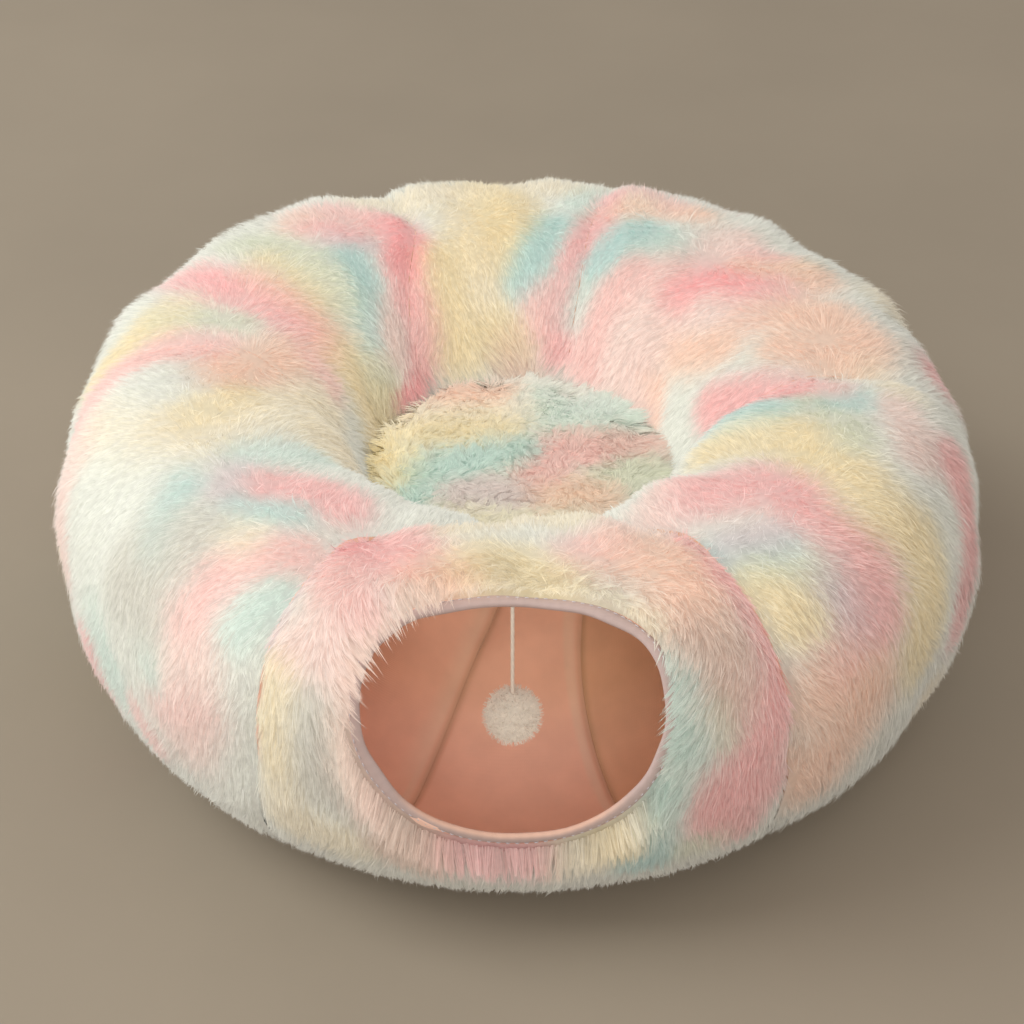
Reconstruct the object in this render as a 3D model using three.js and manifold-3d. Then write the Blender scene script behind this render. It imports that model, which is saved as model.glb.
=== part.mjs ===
// Plush cat tunnel bed: a hollow ring sewn from six panels, with an oval mouth in the front panel,
// a pompom hanging in the mouth and a round filled pad in the middle of the ring.
// Millimetres, +Z up. The bed stands on the floor at Z = 0 and its mouth faces -Y.
// An azimuth runs round the ring from +X, in degrees. A section angle runs round the tube's section
// from the outside (0) over the crest (90) and the hole's side (180) to the underside (270).

import * as THREE from "three";
import { mergeVertices } from "three/addons/utils/BufferGeometryUtils.js";
import Module from "manifold-3d";

const wasm = await Module();
wasm.setup();

// The ring, measured to the tips of its pile
const OUTER_RADIUS = 300;
const HOLE_RADIUS = 99;
const RING_HEIGHT = 220;
const SECTION_POWER = { above: 2.5, below: 2.2 }; // 2 would be an ellipse, more is squarer
const UNDERSIDE_SAG = 4; // pressed flat by the floor

// The plush: pile on the outside, cloth on the tunnel's side
const PILE_DEPTH = 17;
const CLOTH_THICKNESS = 3;
const SEAM_GAP = 0.6;
const GROOVE = { outside: 4, crest: 5, hole: 5 }; // the pile parts over a seam
const GROOVE_WIDTH = 9;
const PINCH = { outside: 2.5, crest: 7, hole: 9 }; // how far a seam draws the panels in
const PINCH_POWER = 4; // flat in a panel's middle, steep beside its seams

// Panels in order round the ring. Each starts at a seam, whose azimuth differs between the outside,
// the hole and the middle of the underside. The seam draws in by its share of PINCH, and the panel
// swells by so much in its middle.
const PANELS = [
  { name: "panel_front", outside: 238.5, hole: 266.9, under: 251, draw: 1.0, swell: 0 },
  { name: "panel_front_right", outside: 302.3, hole: 288.5, under: 288, draw: 1.0, swell: 4 },
  { name: "panel_back_right", outside: 361, hole: 354, under: 355, draw: 1.4, swell: 2 },
  { name: "panel_back", outside: 434.5, hole: 432, under: 432, draw: 1.0, swell: -4 },
  { name: "panel_back_left", outside: 471.5, hole: 485, under: 481, draw: 1.0, swell: 6 },
  { name: "panel_front_left", outside: 533, hole: 543, under: 540, draw: 0.3, swell: 0 },
];

// Creases that run across a panel
const FOLDS = [
  { outside: 43, hole: 34, under: 34, halfWidth: 9, depth: { outside: 1, crest: 8, hole: 9 } },
  { outside: 22, hole: 20, under: 20, halfWidth: 11, depth: { outside: 4, crest: 3, hole: 0 } },
  { outside: 150, hole: 152, under: 152, halfWidth: 8, depth: { outside: 1, crest: 4, hole: 6 } },
  { outside: 326, hole: 322, under: 322, halfWidth: 9, depth: { outside: 1, crest: 3, hole: 6 } },
  { outside: 204, hole: 214, under: 214, halfWidth: 9, depth: { outside: 1, crest: 3, hole: 6 } },
];
// Section angles between which a line moves from its outside place to its hole place, its underside
// place and its outside place again
const LINE_SHIFTS = { start: 90, hole: 145, under: 265, end: 324 };
const UNDER_SHIFT_POWER = 3; // more moves a line sooner on its way from the hole to the underside

// Uneven pile: waves round the ring and round the section, in whole numbers so that they close
const LUMPS = [
  { around: 13, across: 3, phase: 0.4, height: 1.5 },
  { around: 19, across: -4, phase: 2.1, height: 1.3 },
  { around: 29, across: 5, phase: 4.0, height: 1.0 },
];
const LUMP_SHARES = { outside: 1, crest: 1, hole: 0.4 };

// The mouth, measured inside its binding, in the middle of the cloth
const MOUTH_AZIMUTH = 270;
const MOUTH_OFFSET = -3.5; // off the middle, to the left
const MOUTH_HALF_WIDTH = 85.5;
const MOUTH_SECTION = 31.5;
const MOUTH_HALF_SECTION = 47.5;
const BINDING_WIDTH = 7;
const BINDING_THICKNESS = 5;
const BINDING_GAP = 0.7;
// The pile rounds off towards the mouth, and opens wider below the mouth than above it
const MOUTH_CUT = [
  { depth: -30, spread: 19 },
  { depth: -5, spread: 18 },
  { depth: 0, spread: 12 },
  { depth: 4, spread: 6 },
  { depth: 9, spread: 2 },
  { depth: 15, spread: 0 },
  { depth: 45, spread: 0 },
];
const CUT_SPREAD_ABOVE = 0.75;
const CUT_TIP_DEPTHS = { outer: -70, inner: 75 };

// The pompom and its cord
const POMPOM_DIAMETER = 35;
const POMPOM_CORE_RADIUS = 11;
const POMPOM_HEIGHT = 115; // of its middle
const STRANDS = 96;
const STRAND_ROOT_RADIUS = 1.9;
const STRAND_TIP_RADIUS = 1.5;
const STRAND_ROOT_DEPTH = 4; // inside the core
const STRAND_SHORTENING = 0.09; // share that the shortest strand lacks
const STRAND_UNEVENNESS = 2.4; // turn from one strand's shortening to the next
const CORD_DIAMETER = 2.4;
const CORD_GAP = 0.3;
const CORD_STEPS = 11;

// The pad: a filled cushion with drawn-in ends and a crown, from its flat underside upwards
const PAD_PROFILE = [
  { radius: 78, height: 0 },
  { radius: 88, height: 11 },
  { radius: 93, height: 40 },
  { radius: 94.5, height: 85 },
  { radius: 94.5, height: 120 },
  { radius: 92.5, height: 135 },
  { radius: 87, height: 145 },
  { radius: 76, height: 150 },
  { radius: 54, height: 153 },
  { radius: 26, height: 154.5 },
];
const PAD_HEIGHT = 155;
const PAD_LUMP_HEIGHT = 2.6;
const PAD_LUMP_START = 118; // the sides below it stay even
const PAD_LUMPS_ROUND = 5;
const PAD_LUMP_LENGTH = 17;
const PAD_LUMP_PHASES = { x: 1.1, y: -0.4 };

// Colour and roughness of each finish
const PLUSH = { color: 0xf0d5c6, roughness: 0.95 };
const TAPE = { color: 0xe4dde0, roughness: 0.85 };
const CORD = { color: 0xf1ece4, roughness: 0.8 };
const YARN = { color: 0xefe6db, roughness: 0.95 };
const PAD_PLUSH = { color: 0xe6d8c4, roughness: 0.95 };

// Steps of the faceted surfaces
const SECTION_STEPS = 32;
const PILE_SHARES = [0, 0.02, 0.06, 0.13, 0.23, 0.36, 0.5, 0.64, 0.77, 0.87, 0.94, 0.98, 1];
const CLOTH_SHARES = [0, 0.08, 0.3, 0.5, 0.7, 0.92, 1];
const MOUTH_STEPS = 56;
const BINDING_SIDES = 8;
const PAD_SIDES = 36;
const CORD_SIDES = 8;
const STRAND_SIDES = 3;
const POMPOM_CORE_DETAIL = 1;
const NEARBY_TURN = 0.02; // between the two points that give the binding's direction

// Worked out from the above
const WALL = PILE_DEPTH + CLOTH_THICKNESS;
const MIDDLE_RADIUS = (OUTER_RADIUS + HOLE_RADIUS) / 2;
const MIDDLE_HEIGHT = RING_HEIGHT / 2;
const FULL_TURN = 2 * Math.PI;
const { degToRad, radToDeg, lerp, clamp, smoothstep, euclideanModulo } = THREE.MathUtils;

// Closed solid through loops of points, each with as many points as the others. Without tips the
// last loop joins the first one, and with them each end closes to its tip. The closing faces are
// split along their other diagonal, so that two panels' ends match where they face each other.
function loft(loops, tips) {
  const count = loops[0].length;
  const points = loops.flat();
  const triangles = [];
  const joins = tips ? loops.length - 1 : loops.length;
  for (let row = 0; row < joins; row += 1) {
    const nextRow = (row + 1) % loops.length;
    for (let step = 0; step < count; step += 1) {
      const nextStep = (step + 1) % count;
      const a = row * count + step;
      const b = nextRow * count + step;
      const c = nextRow * count + nextStep;
      const d = row * count + nextStep;
      const closing = nextRow === 0;
      triangles.push(closing ? [a, b, d] : [a, b, c], closing ? [b, c, d] : [a, c, d]);
    }
  }
  if (tips) {
    const lastRow = (loops.length - 1) * count;
    const first = points.push(tips.first) - 1;
    const last = points.push(tips.last) - 1;
    for (let step = 0; step < count; step += 1) {
      const nextStep = (step + 1) % count;
      triangles.push([first, step, nextStep], [last, lastRow + nextStep, lastRow + step]);
    }
  }
  return solidGeometry(points, triangles);
}

// Geometry of a closed solid, with its faces turned outwards
function solidGeometry(points, triangles) {
  const cross = new THREE.Vector3();
  let volume = 0;
  for (const [a, b, c] of triangles) {
    volume += cross.crossVectors(points[b], points[c]).dot(points[a]);
  }
  const outward = volume > 0 ? triangles : triangles.map(([a, b, c]) => [a, c, b]);
  const geometry = new THREE.BufferGeometry().setFromPoints(points);
  geometry.setIndex(outward.flat());
  return geometry;
}

// Geometry as a solid that can be joined and cut
function toSolid(geometry) {
  const bare = geometry.clone();
  bare.deleteAttribute("normal");
  bare.deleteAttribute("uv");
  const merged = mergeVertices(bare);
  const mesh = new wasm.Mesh({
    numProp: 3,
    vertProperties: new Float32Array(merged.attributes.position.array),
    triVerts: new Uint32Array(merged.index.array),
  });
  return new wasm.Manifold(mesh);
}

function toGeometry(solid) {
  const mesh = solid.getMesh();
  const geometry = new THREE.BufferGeometry();
  geometry.setAttribute("position", new THREE.BufferAttribute(mesh.vertProperties, 3));
  geometry.setIndex(new THREE.BufferAttribute(mesh.triVerts, 1));
  return geometry;
}

function namedMesh(name, geometry, finish) {
  geometry.computeVertexNormals();
  const material = new THREE.MeshStandardMaterial({ ...finish, metalness: 0 });
  const mesh = new THREE.Mesh(geometry, material);
  mesh.name = name;
  return mesh;
}

// A value given for the outside, the crest and the hole, at a section angle. It fades out underneath.
function bySide(values, section) {
  const across = Math.cos(section);
  const up = Math.sin(section);
  const side = across > 0 ? values.outside : values.hole;
  const crest = up > 0 ? values.crest : 0;
  const underneath = up > 0 ? 1 : 1 + up;
  return (side * across * across + crest * up * up) * underneath;
}

// The azimuth of a seam or fold, which drifts from its outside place over the crest to its place at
// the hole, and back to the outside underneath
function lineAzimuth(line, section) {
  const angle = euclideanModulo(radToDeg(section), 360);
  if (angle < LINE_SHIFTS.hole) {
    return lerp(line.outside, line.hole, smoothstep(angle, LINE_SHIFTS.start, LINE_SHIFTS.hole));
  }
  if (angle < LINE_SHIFTS.under) {
    const way = (angle - LINE_SHIFTS.hole) / (LINE_SHIFTS.under - LINE_SHIFTS.hole);
    return lerp(line.under, line.hole, Math.cos((way * Math.PI) / 2) ** UNDER_SHIFT_POWER);
  }
  return lerp(line.under, line.outside, smoothstep(angle, LINE_SHIFTS.under, LINE_SHIFTS.end));
}

// A point of the plain ring, a depth inside the tips of its pile
function ringPoint(azimuth, section, depth) {
  const across = Math.cos(section);
  const up = Math.sin(section);
  const power = up > 0 ? SECTION_POWER.above : SECTION_POWER.below;
  const fullness = (Math.abs(across) ** power + Math.abs(up) ** power) ** (-1 / power);
  const halfWidth = MIDDLE_RADIUS - HOLE_RADIUS - depth;
  const halfHeight = MIDDLE_HEIGHT - depth + (up < 0 ? UNDERSIDE_SAG : 0);
  const radius = MIDDLE_RADIUS + halfWidth * fullness * across;
  const height = Math.max(0, MIDDLE_HEIGHT + halfHeight * fullness * up);
  const turn = degToRad(azimuth);
  return new THREE.Vector3(radius * Math.cos(turn), radius * Math.sin(turn), height);
}

function foldDepth(azimuth, section) {
  let depth = 0;
  for (const fold of FOLDS) {
    const turns = (azimuth - lineAzimuth(fold, section)) / 360;
    const away = (turns - Math.round(turns)) * 360;
    depth += bySide(fold.depth, section) * Math.exp(-((away / fold.halfWidth) ** 2));
  }
  return depth;
}

function lumpHeight(azimuth, section) {
  let height = 0;
  for (const lump of LUMPS) {
    const angle = lump.around * degToRad(azimuth) + lump.across * section + lump.phase;
    height += lump.height * Math.sin(angle);
  }
  return height * bySide(LUMP_SHARES, section);
}

// A point of a sewn panel: share is how far it lies from the panel's first seam to its second
function panelPoint(panel, share, section, depth) {
  const next = PANELS[(PANELS.indexOf(panel) + 1) % PANELS.length];
  const fullTurn = next.outside < panel.outside ? 360 : 0;
  const radius = ringPoint(0, section, depth).x;
  const gap = radToDeg(SEAM_GAP / 2 / radius);
  const start = lineAzimuth(panel, section) + gap;
  const end = lineAzimuth(next, section) + fullTurn - gap;
  const azimuth = lerp(start, end, share);
  const fromMiddle = Math.abs(2 * share - 1);
  const draw = lerp(panel.draw, next.draw, share) * fromMiddle ** PINCH_POWER;
  const swell = { outside: panel.swell, crest: panel.swell, hole: 0 };
  const bulge = bySide(swell, section) * (1 - fromMiddle ** 2);
  const fromSeam = degToRad(Math.min(azimuth - start, end - azimuth)) * radius;
  const groove = bySide(GROOVE, section) * Math.exp(-((fromSeam / GROOVE_WIDTH) ** 2));
  const pile = clamp(1 - depth / WALL, 0, 1);
  const sewn = bySide(PINCH, section) * draw + foldDepth(azimuth, section) - bulge;
  const loose = groove - lumpHeight(azimuth, section);
  return ringPoint(azimuth, section, depth + sewn + pile * loose);
}

function panelGeometry(panel) {
  const loops = [];
  const addLoop = (share, depth) => {
    const loop = [];
    for (let step = 0; step < SECTION_STEPS; step += 1) {
      loop.push(panelPoint(panel, share, (FULL_TURN * step) / SECTION_STEPS, depth));
    }
    loops.push(loop);
  };
  PILE_SHARES.forEach((share) => addLoop(share, 0));
  CLOTH_SHARES.toReversed().forEach((share) => addLoop(share, WALL));
  return loft(loops);
}

// A point round the mouth's edge, a margin outside it and a depth inside the tips of the pile
function mouthPoint(turn, margin, depth) {
  const front = PANELS[0];
  const next = PANELS[1];
  const halfSection = degToRad(MOUTH_HALF_SECTION) + margin / (MIDDLE_HEIGHT - depth);
  const section = degToRad(MOUTH_SECTION) + halfSection * Math.sin(turn);
  const offset = MOUTH_OFFSET + (MOUTH_HALF_WIDTH + margin) * Math.cos(turn);
  const radius = ringPoint(0, section, depth).x;
  const azimuth = MOUTH_AZIMUTH + radToDeg(Math.asin(offset / radius));
  const start = lineAzimuth(front, section);
  const end = lineAzimuth(next, section);
  return panelPoint(front, (azimuth - start) / (end - start), section, depth);
}

// The solid that cuts the mouth through the front panel
function mouthCutter() {
  const loops = MOUTH_CUT.map(({ depth, spread }) => {
    const loop = [];
    for (let step = 0; step < MOUTH_STEPS; step += 1) {
      const turn = (FULL_TURN * step) / MOUTH_STEPS;
      const share = lerp(1, CUT_SPREAD_ABOVE, (1 + Math.sin(turn)) / 2);
      loop.push(mouthPoint(turn, BINDING_WIDTH + BINDING_GAP + spread * share, depth));
    }
    return loop;
  });
  const section = degToRad(MOUTH_SECTION);
  const first = ringPoint(MOUTH_AZIMUTH, section, CUT_TIP_DEPTHS.outer);
  const last = ringPoint(MOUTH_AZIMUTH, section, CUT_TIP_DEPTHS.inner);
  return loft(loops, { first, last });
}

// Where the binding runs at one turn round the mouth: its middle and the directions across it
function bindingFrame(turn) {
  const margin = BINDING_WIDTH / 2;
  const depth = WALL - CLOTH_THICKNESS / 2;
  const middle = mouthPoint(turn, margin, depth);
  const ahead = mouthPoint(turn + NEARBY_TURN, margin, depth);
  const along = ahead.sub(mouthPoint(turn - NEARBY_TURN, margin, depth)).normalize();
  const outward = mouthPoint(turn, margin, 0).sub(mouthPoint(turn, margin, WALL)).normalize();
  const away = new THREE.Vector3().crossVectors(along, outward).normalize();
  return { middle, outward, away };
}

function bindingGeometry() {
  const loops = [];
  for (let step = 0; step < MOUTH_STEPS; step += 1) {
    const { middle, outward, away } = bindingFrame((FULL_TURN * step) / MOUTH_STEPS);
    const loop = [];
    for (let side = 0; side < BINDING_SIDES; side += 1) {
      const angle = (FULL_TURN * side) / BINDING_SIDES;
      const point = middle.clone();
      point.addScaledVector(away, (BINDING_WIDTH / 2) * Math.cos(angle));
      point.addScaledVector(outward, (BINDING_THICKNESS / 2) * Math.sin(angle));
      loop.push(point);
    }
    loops.push(loop);
  }
  return loft(loops);
}

// The lowest point of the binding's section in the middle of the mouth's upper edge
function cordTop() {
  const { middle, outward, away } = bindingFrame(Math.PI / 2);
  const acrossReach = (BINDING_WIDTH / 2) * away.z;
  const outwardReach = (BINDING_THICKNESS / 2) * outward.z;
  const reach = Math.hypot(acrossReach, outwardReach);
  const point = middle.clone();
  point.addScaledVector(away, (-BINDING_WIDTH / 2) * (acrossReach / reach));
  point.addScaledVector(outward, (-BINDING_THICKNESS / 2) * (outwardReach / reach));
  return point;
}

function cordGeometry(top, bottom) {
  const corners = [];
  for (let side = 0; side < CORD_SIDES; side += 1) {
    const angle = (FULL_TURN * side) / CORD_SIDES;
    corners.push(new THREE.Vector2(Math.cos(angle), Math.sin(angle)).multiplyScalar(CORD_DIAMETER / 2));
  }
  return new THREE.ExtrudeGeometry(new THREE.Shape(corners), {
    steps: CORD_STEPS,
    bevelEnabled: false,
    extrudePath: new THREE.LineCurve3(top, bottom),
  });
}

// A ball of yarn ends that stand apart round a core. The first strand points up, to the cord.
function pompomGeometry() {
  let ball = toSolid(new THREE.IcosahedronGeometry(POMPOM_CORE_RADIUS, POMPOM_CORE_DETAIL));
  const goldenTurn = Math.PI * (3 - Math.sqrt(5));
  const upright = new THREE.Vector3(0, 1, 0);
  const root = POMPOM_CORE_RADIUS - STRAND_ROOT_DEPTH;
  for (let strand = 0; strand < STRANDS; strand += 1) {
    const height = 1 - (2 * strand) / (STRANDS - 1);
    const turn = goldenTurn * strand;
    const level = Math.sqrt(1 - height * height);
    const direction = new THREE.Vector3(level * Math.cos(turn), level * Math.sin(turn), height);
    const shortening = STRAND_SHORTENING * Math.sin(strand * STRAND_UNEVENNESS) ** 2;
    const tip = (POMPOM_DIAMETER / 2) * (strand === 0 ? 1 : 1 - shortening);
    const length = tip - root;
    const yarn = new THREE.CylinderGeometry(STRAND_TIP_RADIUS, STRAND_ROOT_RADIUS, length, STRAND_SIDES);
    yarn.translate(0, root + length / 2, 0);
    yarn.applyQuaternion(new THREE.Quaternion().setFromUnitVectors(upright, direction));
    ball = ball.add(toSolid(yarn));
  }
  return toGeometry(ball);
}

function padGeometry() {
  const padPoint = (radius, height, turn) => {
    const x = radius * Math.cos(turn);
    const y = radius * Math.sin(turn);
    const crown = smoothstep(height, PAD_LUMP_START, PAD_HEIGHT);
    const across = x / PAD_LUMP_LENGTH + PAD_LUMP_PHASES.x;
    const back = y / PAD_LUMP_LENGTH + PAD_LUMP_PHASES.y;
    const wave = Math.sin(across) * Math.cos(back);
    const edge = Math.sin(PAD_LUMPS_ROUND * turn) * (radius / MIDDLE_RADIUS);
    return new THREE.Vector3(x, y, height + PAD_LUMP_HEIGHT * crown * (wave + edge));
  };
  const loops = PAD_PROFILE.map(({ radius, height }) => {
    const loop = [];
    for (let side = 0; side < PAD_SIDES; side += 1) {
      loop.push(padPoint(radius, height, (FULL_TURN * side) / PAD_SIDES));
    }
    return loop;
  });
  return loft(loops, { first: padPoint(0, 0, 0), last: padPoint(0, PAD_HEIGHT, 0) });
}

// The bed
const bed = new THREE.Group();
for (const panel of PANELS) {
  const whole = panelGeometry(panel);
  const isFront = panel === PANELS[0];
  const shape = isFront ? toGeometry(toSolid(whole).subtract(toSolid(mouthCutter()))) : whole;
  bed.add(namedMesh(panel.name, shape, PLUSH));
}
bed.add(namedMesh("mouth_binding", bindingGeometry(), TAPE));

const hang = cordTop();
const pompomMiddle = new THREE.Vector3(hang.x, hang.y, POMPOM_HEIGHT);
const cordStart = new THREE.Vector3(hang.x, hang.y, hang.z - CORD_GAP);
const cordEnd = pompomMiddle.clone();
cordEnd.z += POMPOM_DIAMETER / 2 + CORD_GAP;
bed.add(namedMesh("pompom_cord", cordGeometry(cordStart, cordEnd), CORD));

const pompom = namedMesh("pompom", pompomGeometry(), YARN);
pompom.position.copy(pompomMiddle);
bed.add(pompom);

bed.add(namedMesh("centre_pad", padGeometry(), PAD_PLUSH));

export default bed;
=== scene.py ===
# Looks of a plush cat tunnel bed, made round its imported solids.
# Sizes are millimetres until a mesh is made. An azimuth runs round the ring from +X, in degrees. A
# section angle runs round the tube's section from the outside (0) over the crest (90) and the hole's
# side (180) to the underside (270); it is in radians unless a table says degrees.
import math
from collections import namedtuple

import bpy
import numpy as np
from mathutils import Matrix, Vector


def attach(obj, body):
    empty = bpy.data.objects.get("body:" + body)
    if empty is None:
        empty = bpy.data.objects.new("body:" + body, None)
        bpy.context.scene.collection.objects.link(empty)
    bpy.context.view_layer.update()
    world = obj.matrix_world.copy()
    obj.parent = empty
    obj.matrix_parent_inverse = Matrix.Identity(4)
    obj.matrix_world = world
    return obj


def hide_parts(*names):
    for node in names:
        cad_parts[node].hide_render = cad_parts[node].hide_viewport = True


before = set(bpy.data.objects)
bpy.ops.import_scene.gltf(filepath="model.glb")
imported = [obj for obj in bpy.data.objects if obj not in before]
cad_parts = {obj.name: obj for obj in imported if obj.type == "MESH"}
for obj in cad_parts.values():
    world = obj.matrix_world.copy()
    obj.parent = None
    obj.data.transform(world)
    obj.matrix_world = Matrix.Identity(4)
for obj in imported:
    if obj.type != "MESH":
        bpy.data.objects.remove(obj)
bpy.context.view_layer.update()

MM = 0.001
FULL_TURN = 2 * math.pi
BODY = "root"
SEED = 11
draws = np.random.default_rng(SEED)

# The ring, as its solids have it, measured to the tips of the pile
OUTER_RADIUS = 300
HOLE_RADIUS = 99
RING_HEIGHT = 220
POWER_ABOVE = 2.5
POWER_BELOW = 2.2
UNDERSIDE_SAG = 4
MIDDLE_RADIUS = (OUTER_RADIUS + HOLE_RADIUS) / 2
MIDDLE_HEIGHT = RING_HEIGHT / 2
PILE_DEPTH = 17
CLOTH_THICKNESS = 3
WALL = PILE_DEPTH + CLOTH_THICKNESS
SEAM_GAP = 0.6
GROOVE_WIDTH = 9
PINCH_POWER = 4

Sides = namedtuple("Sides", "outside crest hole")
GROOVE = Sides(4, 5, 5)
PINCH = Sides(2.5, 7, 9)
LUMP_SHARES = Sides(1, 1, 0.4)

# Each panel starts at a seam. The pile fills a share of the valley at that seam, and is parted along the
# seams marked 1.
Panel = namedtuple("Panel", "name outside hole under draw swell fill parted")
PANELS = [
    Panel("panel_front", 238.5, 266.9, 251, 1.0, 0, 0.4, 1),
    Panel("panel_front_right", 302.3, 288.5, 288, 1.0, 4, 0.3, 1),
    Panel("panel_back_right", 361, 354, 355, 1.4, 2, 0.4, 0),
    Panel("panel_back", 434.5, 432, 432, 1.0, -4, 0.4, 0),
    Panel("panel_back_left", 471.5, 485, 481, 1.0, 6, 0.4, 0),
    Panel("panel_front_left", 533, 543, 540, 0.3, 0, 0.95, 0),
]

Fold = namedtuple("Fold", "outside hole under half_width depth")
FOLDS = [
    Fold(43, 34, 34, 9, Sides(1, 8, 9)),
    Fold(22, 20, 20, 11, Sides(4, 3, 0)),
    Fold(150, 152, 152, 8, Sides(1, 4, 6)),
    Fold(326, 322, 322, 9, Sides(1, 3, 6)),
    Fold(204, 214, 214, 9, Sides(1, 3, 6)),
]
# Section angles between which a seam or fold moves to its hole place, its underside place and back
Shifts = namedtuple("Shifts", "start hole under end")
LINE_SHIFTS = Shifts(90, 145, 265, 324)
UNDER_SHIFT_POWER = 3
Lump = namedtuple("Lump", "around across phase height")
LUMPS = [
    Lump(13, 3, 0.4, 1.5),
    Lump(19, -4, 2.1, 1.3),
    Lump(29, 5, 4.0, 1.0),
]

# The mouth, measured inside its binding
MOUTH_AZIMUTH = 270
MOUTH_OFFSET = -3.5
MOUTH_HALF_WIDTH = 85.5
MOUTH_SECTION = math.radians(31.5)
MOUTH_HALF_SECTION = math.radians(47.5)
BINDING_WIDTH = 7
BINDING_THICKNESS = 5
BINDING_DEPTH = WALL - CLOTH_THICKNESS / 2

# The cord and the pompom
CORD_TOP = (-3.5, -212.6, 198.3)
CORD_LENGTH = 65.5
CORD_DIAMETER = 2.4
POMPOM_MIDDLE = np.array([-3.5, -212.6, 115.0])
POMPOM_RADIUS = 17.5

# The pad's half section, radius and height, from its flat underside to its crown
PAD_PROFILE = np.array([
    (78, 0), (88, 11), (93, 40), (94.5, 85), (94.5, 120), (92.5, 135), (87, 145), (76, 150),
    (54, 153), (26, 154.5), (0, 155),
])
PAD_LUMP_HEIGHT = 2.6
PAD_LUMP_START = 118
PAD_LUMPS_ROUND = 5
PAD_LUMP_LENGTH = 17
PAD_HEIGHT = 155

# Dyes, and two tints of painted shade, in everyday screen values
TINTS = {
    "white": (230, 230, 222),
    "cream": (240, 229, 206),
    "yellow": (240, 222, 180),
    "sage": (220, 222, 202),
    "mint": (212, 228, 220),
    "aqua": (188, 217, 213),
    "blush": (242, 216, 208),
    "palepink": (244, 202, 196),
    "pink": (244, 190, 188),
    "rose": (250, 174, 176),
    "peach": (244, 206, 184),
    "lavender": (222, 204, 206),
    # painted shade: a grey for fur in soft shadow
    "pearl": (212, 208, 198),
    # painted shade: a dull beige-pink for fur in shade
    "dun": (220, 192, 176),
    "salmon": (222, 140, 116),
}
BASE_TINT = "white"
BASE_STRENGTH = 0.2

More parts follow.
